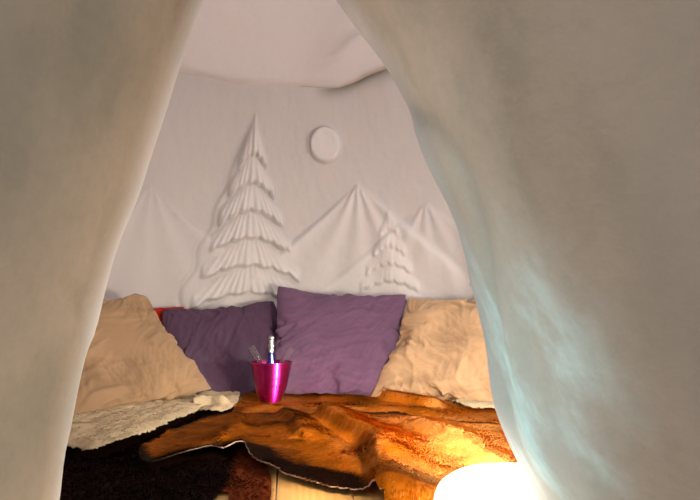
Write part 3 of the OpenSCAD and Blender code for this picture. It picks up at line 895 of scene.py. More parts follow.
def relief(s, z):
    """Moon, drift and large fir, and hills with a small fir on them: the greatest height, from 0 to 1."""
    moon = step((MOON_R - np.hypot(s - MOON_S, z - MOON_Z)) / 0.022)
    hills = sum(high * mountain(s, z, peak_s, LEDGE_Z - drop, slope, crests)
                for high, peak_s, drop, slope, crests in HILLS)
    hills = hills + 0.38 * fir(s, z, 0.69, DECK_Z + 0.52, height=0.62, half_width=0.25, tiers=5)
    drift = 0.35 * step((FIR_Z + 0.06 * np.sin(s * 2.91) - z) / 0.13)
    large = fir(s, z, FIR_S, FIR_Z, height=1.18, half_width=0.40, tiers=6)
    return np.max([0.55 * moon, np.minimum(0.8, hills), drift, large], axis=0)


def contour(s, z):
    """Groove from 0 to 1 that is cut along the large fir's left side."""
    up = np.clip((z - DECK_Z - 0.5) / 1.26, 0, 1)
    edge = 0.44 * (1 - up) * (1 + 0.05 * np.sin(z * 23)) + 0.015
    return np.exp(-((FIR_S - s - edge) / 0.017) ** 2) * step((1 - up) * 6)


def carving_mesh():
    """Carved wall: a fine curved face with the relief, a coarse back, and fans along the edges."""
    s = sizes()
    coarse = 4
    columns, rows = 288, 232
    coat, lump, stroke, cut = 0.014, 0.006, 0.0016, 0.024
    side = np.linspace(-1, 1, columns + 1)
    angle = s.recess_half_angle * (0.74 * side + 0.26 * side ** 3)
    z = np.linspace(DECK_Z + SEAT, LEDGE_Z + 0.004, rows + 1)
    angle, z = np.meshgrid(angle, z)
    aside = angle * ROOM_R
    fade = step((s.recess_half_angle - np.abs(angle)) / math.radians(9))
    high = relief(aside, z) * fade * step((LEDGE_Z - z) / 0.07)
    lumps = rough(np.stack([aside * 3, z * 3, 0 * z], axis=-1), 4, 5)
    strokes = rough(np.stack([aside * 26, z * 14, 0 * z], axis=-1), 2, 9)
    height = s.relief_height * high + coat + lump * lumps + stroke * strokes
    height -= cut * contour(aside, z)
    extra = s.recess_depth + slot_at(z, aside) * fade
    level = z
    z = lifted(z, aside)
    face = inner_r(z, extra) - s.carving_thickness - height
    face = face * fade + (inner_r(z) - 0.003) * (1 - fade)
    behind = inner_r(z, extra)[::coarse, ::coarse]

    def at(r, a, h):
        return np.stack([r * np.sin(a), ROOM_Y + r * np.cos(a), h], axis=-1)

    front = at(face, angle, z)
    back = at(behind, angle[::coarse, ::coarse], z[::coarse, ::coarse])
    base = front.shape[0] * front.shape[1]

    def rim(shape, first):
        """Numbers of a grid's border points, once round."""
        n = first + np.arange(shape[0] * shape[1]).reshape(shape)
        return np.concatenate([n[0, :-1], n[:-1, -1], n[-1, :0:-1], n[:0:-1, 0]])

    fine = rim(front.shape[:2], 0)
    wide = rim(back.shape[:2], base)
    near = np.repeat(wide, coarse)
    fans = np.stack([near, fine, np.roll(fine, -1)], axis=1)
    bridges = np.stack([wide, np.roll(fine, -coarse)[::coarse], np.roll(wide, -1)], axis=1)
    faces = [grid_faces(*front.shape[:2]), grid_faces(*back.shape[:2], base), fans, bridges]
    mesh = fill_mesh("carved_wall", np.concatenate([front.reshape(-1, 3), back.reshape(-1, 3)]), faces)
    # Painted shade under the ledge, a crescent towards the right
    crescent = step((aside - 0.16) / 0.2) * step((0.92 - aside) / 0.2)
    crescent = crescent * step((LEDGE_Z + 0.004 - level) / 0.008)
    crescent = crescent * np.exp(-((LEDGE_Z - level) / 0.05) ** 2)
    hidden = np.zeros(back.shape[0] * back.shape[1])
    tell(mesh, "raised", np.concatenate([high.ravel(), hidden]))
    tell(mesh, "hollow", np.concatenate([crescent.ravel(), hidden]))
    weld(mesh)
    return mesh


def stump_mesh():
    """Snow stump: its profile, straight up and rounded over, taken round a rounded square with lumps."""
    low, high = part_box("snow_stump")
    radius = (high.x - low.x) / 2
    middle = (low + high) / 2
    edge = 0.075
    squareness = 3.4
    turn = np.linspace(0, np.pi / 2, 16)
    r = np.concatenate([[0, radius * 0.5], np.full(34, radius), radius - edge + edge * np.cos(turn),
                        np.linspace(radius - edge, 0, 14)[1:]])
    z = np.concatenate([[0, 0], np.linspace(0, high.z - edge, 34), high.z - edge + edge * np.sin(turn),
                        np.full(13, high.z)])
    angle = np.linspace(0, 2 * np.pi, 97)
    r, angle = np.meshgrid(r, angle, indexing="ij")
    z = z[:, None] + 0 * angle
    points = np.stack([r * np.sin(angle), -r * np.cos(angle), z], axis=-1)
    lumps = rough(points * 9, 3, 31)
    square = np.abs(np.sin(angle)) ** squareness + np.abs(np.cos(angle)) ** squareness
    square = square ** (-1 / squareness)
    keep = square * (0.985 - 0.02 * (1 + lumps))
    points[..., :2] *= keep[..., None]
    points[..., 2] *= 1 - 0.006 * (1 + lumps) * (z > 0.1)
    points += (middle.x, middle.y, 0)
    mesh = fill_mesh("snow_stump_lit", points.reshape(-1, 3), [grid_faces(*points.shape[:2])])
    weld(mesh)
    return mesh


# Hides and fleeces
def smooth_loop(corners, steps=6):
    """Closed curve through a few points: each stretch a cubic that passes through both of its ends."""
    p = np.array(corners, float)
    before, after, later = np.roll(p, 1, 0), np.roll(p, -1, 0), np.roll(p, -2, 0)
    t = (np.arange(steps) / steps)[None, :, None]
    p, before, after, later = (q[:, None, :] for q in (p, before, after, later))
    curve = 0.5 * (2 * p + (after - before) * t + (2 * before - 5 * p + 4 * after - later) * t ** 2
                   + (3 * p - before - 3 * after + later) * t ** 3)
    return curve.reshape(-1, 2)


def inset(p, loop):
    """Distance of flat points from a closed outline, positive inside it, and their nearest places."""
    depth, nearest = np.empty(len(p)), np.empty(p.shape)
    a, b = loop, np.roll(loop, -1, 0)
    run = b - a
    for part in np.array_split(np.arange(len(p)), max(1, len(p) // 8000)):
        q = p[part][:, None, :]
        t = np.clip(((q - a) * run).sum(-1) / np.maximum((run ** 2).sum(-1), 1e-12), 0, 1)
        foot = a + t[..., None] * run
        gap = np.hypot(*np.moveaxis(q - foot, -1, 0))
        best = gap.argmin(1)
        crosses = (a[:, 1] > q[..., 1]) != (b[:, 1] > q[..., 1])
        at_x = a[:, 0] + (q[..., 1] - a[:, 1]) / np.where(run[:, 1] == 0, 1e-12, run[:, 1]) * run[:, 0]
        inside = (crosses & (q[..., 0] < at_x)).sum(1) % 2 == 1
        pick = np.arange(len(part))
        depth[part] = np.where(inside, gap[pick, best], -gap[pick, best])
        nearest[part] = foot[pick, best]
    return depth, nearest


EDGE_ROUND = 0.012


def over_deck(flat, lift):
    """Flat points to their places: level on the deck, round its front edge, then straight down."""
    start = -DECK_FRONT + EDGE_ROUND
    past = np.maximum(start - flat[..., 1], 0)
    bend = EDGE_ROUND + 0.012
    turn = np.minimum(past / bend, np.pi / 2)
    hang = np.maximum(past - bend * np.pi / 2, 0)
    lift = lift * (1 - 0.5 * step(hang / 0.05))
    radius = EDGE_ROUND + lift
    y = np.where(past > 0, start - radius * np.sin(turn), flat[..., 1])
    z = DECK_Z - EDGE_ROUND + radius * np.cos(turn) - hang
    return np.stack([flat[..., 0], ROOM_Y + y, z], axis=-1)


def ridge(flat, path, left, right):
    """Height from 0 to 1 of a fold along a path: it falls off within a width of its own on each side."""
    path = np.array(path)
    a, run = path[:-1], np.diff(path, axis=0)
    apart = flat[..., None, :] - a
    t = np.clip((apart * run).sum(-1) / (run ** 2).sum(-1), 0, 1)
    gaps = np.hypot(*np.moveaxis(apart - t[..., None] * run, -1, 0))
    nearest = gaps.argmin(-1)[..., None]
    gap = np.take_along_axis(gaps, nearest, -1)[..., 0]
    turn = run[:, 0] * apart[..., 1] - run[:, 1] * apart[..., 0]
    on_right = np.take_along_axis(turn, nearest, -1)[..., 0] > 0
    return np.exp(-(gap / np.where(on_right, right, left)) ** 2)


class Hide:
    """A hide or fleece: its outline on the flat, its height over the deck and the way of its fur.

    The outline's points are to the right and backwards from the room's middle. The heights lift, waves,
    curl, plump and puff are those of the layer, its waves, its edge, its fullness and its wool. Each fold
    is a path, its width to the left and the right, and its height. Fur lies along flow, which twists to
    the right; none grows under the skins of under, or within the margin of the outline.
    """

    def __init__(self, name, outline, lift, waves=0.008, folds=(), flow=(0, -1), curl=0.012, seed=1,
                 under=(), margin=0.001, plump=0.0, twist=0.0, puff=0.0, cell=0.02):
        self.name = name
        self.loop = smooth_loop(outline)
        self.lift = lift
        self.waves = waves
        self.folds = folds
        self.flow = np.array(flow, float)
        self.curl = curl
        self.seed = seed
        self.under = under
        self.margin = margin
        self.plump = plump
        self.twist = twist
        self.puff = puff
        self.cell = cell

    def raised(self, flat, depth):
        """Height over the deck: the layer's, soft waves, folds, puffs of wool and an edge that curls."""
        p = on_plane(flat)
        wave = rough(p * 3.2, 2, self.seed) * 0.6 + rough(p * 8.5, 2, self.seed + 5) * 0.25
        height = self.lift + self.waves * (0.8 + wave)
        for path, left, right, rise in self.folds:
            height = height + rise * ridge(flat, path, left, right)
        rim = np.exp(-np.maximum(depth, 0) / 0.03)
        height = height + self.curl * rim * np.maximum(0, rough(p * 6, 1, self.seed + 9))
        full = np.sqrt(step(depth / 0.05)) * (1 + 0.4 * rough(p * 13, 2, self.seed + 4))
        height = height + self.plump * (full - 0.5)
        drift = 0.25 * rough(p * 22, 2, self.seed + 31)[..., None]
        height = height + self.puff * np.sqrt(np.abs(lattice(p * 34 + drift, self.seed + 33)))
        return np.maximum(height, 0.003)

    def place(self, flat):
        depth = inset(flat, self.loop)[0]
        return over_deck(flat, self.raised(flat, depth))

    def sheet(self, material, slot, tone, rim, *nodes):
        """Sheet of square cells whose outer points are drawn onto the outline, with a thin wall."""
        cell = self.cell
        near = 0.45 * cell
        low, high = self.loop.min(0) - cell, self.loop.max(0) + cell
        xs = np.arange(low[0], high[0] + cell, cell)
        ys = np.arange(low[1], high[1] + cell, cell)
        flat = np.stack(np.meshgrid(xs, ys), axis=-1).reshape(-1, 2)
        depth, nearest = inset(flat, self.loop)
        faces = grid_faces(len(ys), len(xs))
        faces = faces[(depth[faces] > -near).all(axis=1)]
        flat = np.where((depth < near)[:, None], nearest, flat)
        used = np.unique(faces)
        number = np.zeros(len(flat), int)
        number[used] = np.arange(len(used))
        flat, faces = flat[used], number[faces]
        mesh = fill_mesh(self.name, self.place(flat), [faces])
        depth = np.maximum(inset(flat, self.loop)[0], 0)
        tell(mesh, "tone", tone(flat, depth))
        piece = add_piece(mesh, material, slot, *nodes)
        wall = piece.modifiers.new("skin", "SOLIDIFY")
        wall.thickness = 0.004 if rim else 0.003
        wall.offset = -1
        if rim:
            mesh.materials.append(rim)
            wall.material_offset_rim = 1
        x, y = self.loop.T
        area = abs(np.sum(x * np.roll(y, -1) - y * np.roll(x, -1))) / 2
        span = self.loop.max(0) - self.loop.min(0)
        return piece, tuple(span), area

    def fur(self, material, slot, count, length, width, rise, wild, tone, spread, root):
        """Blades of fur, each a strip of two stretches that narrows to a tip along the fur's way.

        They rise by the angle rise, stray by wild, and take their tone's share at random by spread. root
        is
        painted shade: the root is darker by it and the tip lighter by half of it.
        """
        rng = np.random.default_rng(self.seed)
        low, high = self.loop.min(0), self.loop.max(0)
        roots = low + (high - low) * rng.random((int(count * 2.6), 2))
        depth, nearest = inset(roots, self.loop)
        bare = depth > self.margin
        for other in self.under:
            bare &= inset(roots, other.loop)[0] < 0.02
        keep = np.flatnonzero(bare)[:count]
        roots, depth, nearest = roots[keep], depth[keep], nearest[keep]
        n = len(roots)
        p = on_plane(roots)
        outwards = (nearest - roots) / np.maximum(depth, 1e-6)[:, None]
        way = self.flow + outwards * np.exp(-depth / 0.05)[:, None] * 1.1
        turn = wild * (rough(p * 9, 2, self.seed + 2) * 1.2 + 0.6 * rng.standard_normal(n))
        turn += self.twist * roots[:, 0]
        way = way / np.maximum(np.hypot(*way.T), 1e-6)[:, None]
        cos, sin = np.cos(turn), np.sin(turn)
        way = np.stack([way[:, 0] * cos - way[:, 1] * sin, way[:, 0] * sin + way[:, 1] * cos], axis=1)
        tiny = 0.002
        base = self.place(roots)
        along = self.place(roots + way * tiny) - base
        right = self.place(roots + (tiny, 0)) - base
        back = self.place(roots + (0, tiny)) - base
        along /= np.linalg.norm(along, axis=1)[:, None]
        up = np.cross(right, back)
        up /= np.linalg.norm(up, axis=1)[:, None]
        size = length * (0.7 + 0.6 * rng.random(n)) * (1 - 0.5 * np.exp(-depth / 0.02))
        lean = rise * (0.6 + 0.8 * rng.random(n))
        half = np.cross(up, along) * (width / 2 * (0.7 + 0.6 * rng.random(n)))[:, None]
        bent = up * np.sin(lean)[:, None] + along * np.cos(lean)[:, None]
        tip_way = up * np.sin(lean * 0.45)[:, None] + along * np.cos(lean * 0.45)[:, None]
        base = base - up * 0.001
        middle = base + bent * (size * 0.5)[:, None]
        tip = middle + tip_way * (size * 0.5)[:, None]
        strip = [base - half, base + half, middle - half * 0.8, middle + half * 0.8, tip]
        points = np.stack(strip, axis=1)
        corner = 5 * np.arange(n)[:, None]
        faces = [np.concatenate([corner + (0, 3, 1), corner + (0, 2, 3), corner + (2, 4, 3)])]
        mesh = fill_mesh(self.name + "_fur", points.reshape(-1, 3), faces)
        flow = self.flow / np.hypot(*self.flow)
        lane = np.stack([roots @ (-flow[1], flow[0]) * 95, roots @ flow * 26, np.zeros(n)], axis=1)
        uneven = rough(lane, 2, self.seed + 60) + 0.4 * rng.standard_normal(n)
        shade = tone(roots, depth) + spread * uneven
        # Painted shade: root points darker by root, the tip lighter by half of it
        tell(mesh, "tone", shade[:, None] + np.array([root, root, 0.0, 0.0, -root / 2]))
        return add_piece(mesh, material, slot)


BACK_HIDE = Hide(
    "orange_hide_back",
    [(-0.19, 0.10), (-0.225, 0.50), (-0.20, 0.86), (-0.06, 0.98), (0.30, 1.00), (0.70, 0.96),
     (0.80, 0.70), (0.88, 0.40), (0.99, 0.22), (0.97, -0.02), (0.52, -0.03), (0.20, 0.02)],
    lift=0.004, waves=0.010, flow=(-0.8, -0.5), seed=5,
    folds=[([(0.46, 0.78), (0.54, 0.56), (0.70, 0.36)], 0.02, 0.06, 0.04),
           ([(-0.12, 0.36), (0.16, 0.24), (0.44, 0.30), (0.62, 0.22)], 0.07, 0.025, 0.022)])
FRONT_HIDE = Hide(
    "orange_hide_front",
    [(-0.455, -0.50), (-0.445, -0.33), (-0.40, -0.12), (-0.34, 0.03), (-0.27, 0.15), (-0.19, 0.18),
     (-0.06, 0.15), (0.065, 0.125), (0.19, 0.06), (0.325, 0.066), (0.50, 0.094), (0.64, -0.04),
     (0.88, -0.13), (0.92, -0.40), (0.90, -0.70), (0.86, -0.95), (0.83, -1.19), (0.55, -1.21),
     (0.27, -1.18), (0.225, -0.94), (0.11, -0.86), (0.04, -0.79), (-0.03, -0.705), (-0.105, -0.56),
     (-0.14, -0.43), (-0.19, -0.52), (-0.24, -0.49), (-0.30, -0.52), (-0.39, -0.625)],
    lift=0.018, waves=0.013, flow=(-0.75, -0.65), curl=0.02, seed=8,
    margin=0.006, twist=1.15, cell=0.014,
    folds=[([(0.16, 0.02), (0.228, -0.18), (0.31, -0.41), (0.275, -0.80), (0.21, -1.15)],
            0.032, 0.12, 0.056),
           ([(0.00, 0.12), (0.06, -0.06), (0.07, -0.30)], 0.03, 0.07, 0.026),
           ([(-0.20, 0.10), (-0.16, -0.14), (-0.20, -0.36)], 0.05, 0.03, 0.018),
           ([(0.55, -0.12), (0.60, -0.42), (0.66, -0.85)], 0.05, 0.10, 0.028)])
LEFT_FLEECE = Hide(
    "sheepskin_front",
    [(-0.92, -0.12), (-0.82, -0.34), (-0.70, -0.39), (-0.615, -0.45), (-0.54, -0.34), (-0.455, -0.06),
     (-0.40, 0.16), (-0.36, 0.42), (-0.46, 0.70), (-0.76, 0.72), (-1.00, 0.42), (-1.02, 0.06)],
    lift=0.020, waves=0.016, flow=(0.3, -0.9), curl=0.03, seed=13,
    plump=0.018, puff=0.012, cell=0.009)
MIDDLE_FLEECE = Hide(
    "sheepskin_middle_locks",
    [(-0.40, 0.30), (-0.30, 0.22), (-0.235, 0.36), (-0.235, 0.70), (-0.265, 0.92), (-0.42, 0.96),
     (-0.46, 0.62)],
    lift=0.016, waves=0.014, flow=(0.6, -0.7), curl=0.03, seed=17,
    plump=0.015, puff=0.012, cell=0.009,
    folds=[([(-0.42, 0.36), (-0.34, 0.40), (-0.29, 0.37)], 0.03, 0.03, 0.045)])
RIGHT_FLEECE = Hide(
    "sheepskin_right_locks",
    [(0.84, 0.26), (1.05, 0.24), (1.13, 0.48), (1.06, 0.76), (0.90, 0.84), (0.83, 0.56)],
    lift=0.014, waves=0.010, flow=(-0.7, -0.6), seed=19, plump=0.012, puff=0.012, cell=0.009)
DARK_HIDE = Hide(
    "dark_reindeer_hide",
    [(-1.12, -0.70), (-1.02, -0.25), (-0.80, -0.12), (-0.62, -0.12), (-0.54, 0.06), (-0.48, 0.28),
     (-0.36, 0.44), (-0.23, 0.48), (-0.13, 0.15), (-0.11, -0.35), (-0.05, -0.60), (-0.035, -0.78),
     (-0.035, -0.97), (-0.04, -1.17), (-0.13, -1.16), (-0.135, -0.97), (-0.155, -0.80),
     (-0.19, -0.97), (-0.21, -1.19), (-0.60, -1.21), (-1.00, -1.19), (-1.06, -0.97)],
    lift=0.003, waves=0.006, flow=(0.15, -1.0), curl=0.0, seed=3,
    under=(FRONT_HIDE, LEFT_FLEECE, MIDDLE_FLEECE))


def dark_tone(flat, depth):
    """Near black, red-brown towards the right end."""
    return 0.20 + 0.10 * rough(on_plane(flat) * 6, 2, 41) + 0.68 * step((flat[:, 0] + 0.185) / 0.05)


def orange_tone(flat, depth):
    """Orange, lighter in patches and towards the right, with a dark band along the flank's edge at the
    left.

    Painted shade darkens its back edge, where it meets the back hide.
    """
    patch = rough(on_plane(flat) * 4.5, 3, 43)
    light = 0.23 + 0.20 * patch + 0.44 * step((flat[:, 0] - 0.05) / 0.6)
    band = 0.06 + 0.07 * step((flat[:, 0] + 0.22) / 0.12)
    flank = step((band + 0.03 * patch - depth) / 0.07) * step((0.24 - flat[:, 0]) / 0.06)
    flank = flank * step((-0.40 - flat[:, 1]) / 0.09)
    # Painted shade along the back edge, where the front hide meets the back hide
    seam_shade = step((0.04 - depth) / 0.03) * step((flat[:, 1] + 0.2) / 0.1) * 0.8
    return light - (light + 0.4) * np.maximum(flank, seam_shade)


def back_tone(flat, depth):
    """Orange, lighter to the right."""
    return 0.38 + 0.20 * rough(on_plane(flat) * 5, 3, 47) + 0.14 * step((flat[:, 0] - 0.2) / 0.6)


def fleece_tone(flat, depth):
    """Even wool, a little blotched."""
    return 0.72 + 0.08 * rough(on_plane(flat) * 16, 2, 53)


# Pillows
def cushion_net(cells):
    """Two square sheets that share their border: shares across and up, side, and faces."""
    n = cells + 1
    u, v = np.meshgrid(np.linspace(-1, 1, n), np.linspace(-1, 1, n))
    top = np.arange(n * n).reshape(n, n)
    inner = np.zeros((n, n), bool)
    inner[1:-1, 1:-1] = True
    bottom = top.copy()
    bottom[inner] = n * n + np.arange(inner.sum())
    u = np.concatenate([u.ravel(), u[inner]])
    v = np.concatenate([v.ravel(), v[inner]])
    side = np.concatenate([np.where(inner, 1.0, 0.0).ravel(), np.full(inner.sum(), -1.0)])

    def quads(number):
        corners = [number[:-1, :-1], number[:-1, 1:], number[1:, 1:], number[1:, :-1]]
        return np.stack(corners, -1).reshape(-1, 4)

    return u, v, side, [quads(top), quads(bottom)[:, ::-1]]


class Pillow:
    """A stuffed square cover in the place of a CAD node.

    The crease is the angle of its folds, their length and spacing, and their height. Narrow is how much
    the upper edge draws in, corner how far the upper corners stand out, and slide and aside are moves
    down and to the right in the cover's own plane.
    """

    # Lowest height of a cover over the deck, and how softly it flattens there
    SEAT_Z = 0.007
    SQUASH = 0.009
    # Sets of creases: turn from the main way, share of the spacing, weight and seed
    CREASE_SETS = ((0, 1.0, 0.9, 20), (38, 0.7, -0.8, 30), (-52, 0.8, 0.5, 40), (-12, 0.8, -0.7, 50))

    def __init__(self, node, width, thick, lean, turn, roll, narrow, crease, seed, fill,
                 slide=0.0, aside=0.0, corner=1.0):
        self.node = node
        self.width, self.thick = width, thick
        self.lean, self.turn, self.roll = (math.radians(a) for a in (lean, turn, roll))
        self.narrow = narrow
        self.crease = crease
        self.seed = seed
        self.fill = fill
        self.slide, self.aside = slide, aside
        self.corner = corner
        self.name = node + "_cover"

    def start(self, cells):
        """A slack cover: two sheets that bulge by the root of (1 - u^4)(1 - v^4), a little uneven."""
        u, v, side, faces = cushion_net(cells)
        bulge = np.sqrt(np.clip((1 - u ** 4) * (1 - v ** 4), 0, 1))
        p = np.stack([u * 4, v * 4, side * 3], axis=-1)
        height = side * self.thick * 0.24 * bulge + 0.004 * lattice(p * 2.2, self.seed)
        points = np.stack([self.width / 2 * u, self.width / 2 * v, height], axis=-1)
        mesh = fill_mesh(self.name, points, faces)
        layer = mesh.uv_layers.new(name="cloth")
        corner = np.empty(len(mesh.loops), np.int32)
        mesh.loops.foreach_get("vertex_index", corner)
        layer.data.foreach_set("uv", (np.stack([u, v], axis=-1) * 0.5 + 0.5)[corner].ravel())
        return put(self.name, mesh)

    def stuff(self, piece):
        """Cloth that the stuffing presses out."""
        cloth = piece.modifiers.new("stuffing", "CLOTH")
        c = cloth.settings
        c.quality = 5
        c.mass = 0.25
        c.tension_stiffness = c.compression_stiffness = 25
        c.shear_stiffness = 8
        c.bending_stiffness = 0.15
        c.air_damping = 2
        c.use_pressure = True
        c.uniform_pressure_force = sizes().pillow_pressure
        c.effector_weights.gravity = 0
        cloth.point_cache.frame_start = 1
        cloth.point_cache.frame_end = 40

    def settle(self, piece, cells):
        """Takes the pressed shape, fits it to the solid's size, slumps it and sets it in its place."""
        depsgraph = bpy.context.evaluated_depsgraph_get()
        co = points_of(piece.evaluated_get(depsgraph).data)
        piece.modifiers.clear()
        span = co.max(0) - co.min(0)
        co -= (co.max(0) + co.min(0)) / 2
        co *= (self.width / span[0], self.width / span[1], self.thick / span[2])
        co = self.square_up(co, cells)
        u, v = co[:, 0] * 2 / self.width, co[:, 1] * 2 / self.width
        # Thinner at the top, drawn in there, and dished
        co[:, 2] *= 1 - 0.12 * v
        co[:, 0] *= 1 - self.narrow * step((v + 0.6) / 1.6)
        co[:, 2] += 0.018 * (u ** 2 - 0.5) + 0.02 * (v ** 2 - 0.5)
        move_points(piece.data, co)
        smooth = piece.modifiers.new("round", "SUBSURF")
        smooth.levels = smooth.render_levels = 1
        depsgraph = bpy.context.evaluated_depsgraph_get()
        old = piece.data
        piece.data = bpy.data.meshes.new_from_object(piece.evaluated_get(depsgraph))
        piece.modifiers.clear()
        bpy.data.meshes.remove(old)
        piece.data.name = self.name
        self.crumple(piece.data)
        low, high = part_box(self.node)
        middle = (low + high) / 2
        place = Matrix.Translation(middle) @ Matrix.Rotation(self.turn, 4, "Z")
        place = place @ Matrix.Rotation(self.lean, 4, "X")
        place = place @ Matrix.Translation((self.aside, -self.slide, 0))
        place = place @ Matrix.Rotation(self.roll, 4, "Z")
        piece.data.transform(place)
        self.seat(piece.data)
        piece.data.shade_smooth()

    def seat(self, mesh):
        """Lifts what would pass through the deck, and flattens it softly."""
        co = points_of(mesh)
        over = (co[:, 2] - DECK_Z - self.SEAT_Z) / self.SQUASH
        co[:, 2] = DECK_Z + self.SEAT_Z + self.SQUASH * np.logaddexp(0, over)
        move_points(mesh, co)

    def square_up(self, co, cells, force=0.72):
        """Draws the corners to their places, then each row and column towards the full width."""
        n = cells + 1
        u, v = cushion_net(cells)[:2]
        half = self.width / 2
        for column, row in ((0, 0), (0, cells), (cells, 0), (cells, cells)):
            goal = np.array([column, row]) / cells * 2 - 1
            weight = (1 + u * goal[0]) * (1 + v * goal[1]) / 4
            co[:, :2] += (weight ** 2)[:, None] * (goal * half * 0.985 - co[row * n + column, :2])
        top = co[:n * n].reshape(n, n, 3)
        row, column = (np.rint((share + 1) / 2 * cells).astype(int) for share in (v, u))
        for axis, line, low, high in ((0, row, top[:, 0, 0], top[:, -1, 0]),
                                      (1, column, top[0, :, 1], top[-1, :, 1])):
            low, high = (half / np.abs(edge) for edge in (low, high))
            grow = np.where(co[:, axis] < 0, low[line], high[line])
            co[:, axis] *= 1 + force * (grow - 1) * (np.abs(co[:, axis]) / half) ** 0.5
        co[:, :2] *= 1 - (1 - self.corner) * ((np.abs(u * v) ** 5) * (v > 0))[:, None]
        return co

    def crumple(self, mesh):
        """Creases: sharp ridges of stretched and warped noise, in sets that cross."""
        co, way = points_of(mesh), normals_of(mesh)
        angle, long, short, height = self.crease
        face = np.where(co[:, 2] > 0, 1.0, 5.0)
        flat = np.stack([co[:, 0], co[:, 1], face], axis=-1)
        drift = np.stack([rough(flat * (4, 4, 1), 2, self.seed + k) for k in (3, 4)], axis=-1) * 0.05
        total = 0
        for turn, width, weight, k in self.CREASE_SETS:
            a = math.radians(angle + turn)
            p, q = co[:, 0] + drift[:, 0], co[:, 1] + drift[:, 1]
            along, across = p * math.cos(a) + q * math.sin(a), q * math.cos(a) - p * math.sin(a)
            at = np.stack([along / (long * width), across / (short * width), face], axis=-1)
            ridged = np.clip(1 - 1.7 * np.abs(lattice(at, self.seed + k)), 0, 1) ** 2
            ridged *= step(lattice(flat * (6, 6, 1), self.seed + k + 5) + 0.45)
            total = total + weight * ridged
        rim = np.maximum(np.abs(co[:, 0]), np.abs(co[:, 1])) * 2 / self.width
        total = total * (1 - 0.85 * step((rim - 0.82) / 0.15))
        co += way * (height * (total - 0.15))[:, None]
        move_points(mesh, co)
        # Kept for the linen's painted light and shade on the creases
        tell(mesh, "crease", np.clip(0.6 + total * 1.1, 0, 1))


PILLOWS = [
    (Pillow("pillow_tan_left", 0.70, 0.17, lean=46, turn=36, roll=7, narrow=0.17,
            crease=(48, 0.20, 0.022, 0.014), seed=2, fill=0.7, corner=0.90), "tan_linen"),
    (Pillow("pillow_purple_left", 0.74, 0.15, lean=50, turn=12, roll=6, narrow=0.03,
            crease=(70, 0.25, 0.030, 0.010), seed=5, fill=0.7, slide=0.07, aside=0.01, corner=0.94),
     "purple_linen"),
    (Pillow("pillow_purple_right", 0.77, 0.18, lean=50, turn=-4, roll=-5, narrow=-0.05,
            crease=(20, 0.22, 0.030, 0.010), seed=9, fill=0.75, slide=0.02), "purple_linen"),
    (Pillow("pillow_tan_right", 0.77, 0.18, lean=46, turn=-38, roll=4, narrow=0.07,
            crease=(-28, 0.26, 0.022, 0.015), seed=14, fill=0.7, slide=0.02, aside=-0.02), "tan_linen"),
    (Pillow("red_cushion", 0.49, 0.07, lean=82, turn=38, roll=0, narrow=0.0,
            crease=(30, 0.12, 0.03, 0.004), seed=21, fill=0.5, slide=-0.025), "red_cloth"),
]


# Last frame of the pillows' simulation that is reckoned
LAST_FRAME = 22

# Camera that the horizon and the doorway's size give: 600 pixels of focal length in 700 of width
CAMERA_HEIGHT = 1.08
CAMERA_BACK = 2.5
CAMERA_YAW = 6.09
CAMERA_PITCH = 4.95
FOCAL_PIXELS = 600
PHOTO_WIDTH = 700

# Colours of the lamps' light
DAYLIGHT = (1.0, 0.99, 0.97)
COOL_WHITE = (1.0, 0.98, 0.97)
WHITE = (1.0, 0.95, 0.92)
WARM_WHITE = (1.0, 0.93, 0.86)
STUMP_LIGHT = (1.0, 0.86, 0.65)
AMBER = (1.0, 0.74, 0.45)


class IGLOO_OT_stage(bpy.types.Operator):
    """Camera at the photograph's place, pale floor, soft light outside and the lamps inside"""
    bl_idname = "igloo.stage"
    bl_label = "Stage"

    def execute(self, context):
        scene = context.scene
        scene.view_settings.view_transform = "Standard"
        aim_camera(scene)
        light_world(scene)
        floor()
        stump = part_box("snow_stump")[1]
        lamp("sky_panel", (-1.6, -5.2, 4.6), 90, 4.0, DAYLIGHT, (0, ROOM_Y, 1.2))
        lamp("stump_lamp", (stump.x - 0.10, stump.y, stump.z + 0.26), 13, 0.2, STUMP_LIGHT,
             (0.35, ROOM_Y + 0.05, DECK_Z), 110)
        lamp("room_key", (1.0, ROOM_Y - 0.72, 1.05), 3.0, 0.3, WARM_WHITE, (-0.3, ROOM_Y + 0.9, 0.85))
        glint = lamp("bucket_glint", (0.85, ROOM_Y - 0.75, 0.90), 10, 0.12, WHITE,
                     (-0.08, ROOM_Y + 0.56, 0.68), 18)
        glint.visible_diffuse = False
        lamp("board_light", (0.02, ROOM_Y - 1.20, 1.0), 0.2, 0.1, AMBER,
             (0.08, ROOM_Y - 0.84, DECK_Z), 34)
        lamp("relief_key", (1.20, ROOM_Y - 0.10, 1.82), 6.8, 0.18, WHITE, (-0.4, ROOM_Y + 1.45, 1.65))
        lamp("room_fill", (-0.1, ROOM_Y - 0.2, 2.3), 4.1, 0.3, COOL_WHITE)
        return {"FINISHED"}


def aim_camera(scene):
    """Camera at the height and angles of the photograph's."""
    data = bpy.data.cameras.new("photo_camera")
    data.sensor_width = 36
    data.lens = FOCAL_PIXELS / PHOTO_WIDTH * data.sensor_width
    data.clip_start = 0.02
    camera = put("photo_camera", data)
    camera.location = (0, ROOM_Y - CAMERA_BACK, CAMERA_HEIGHT)
    camera.rotation_euler = (math.radians(90 + CAMERA_PITCH), 0, math.radians(-CAMERA_YAW))
    scene.camera = camera


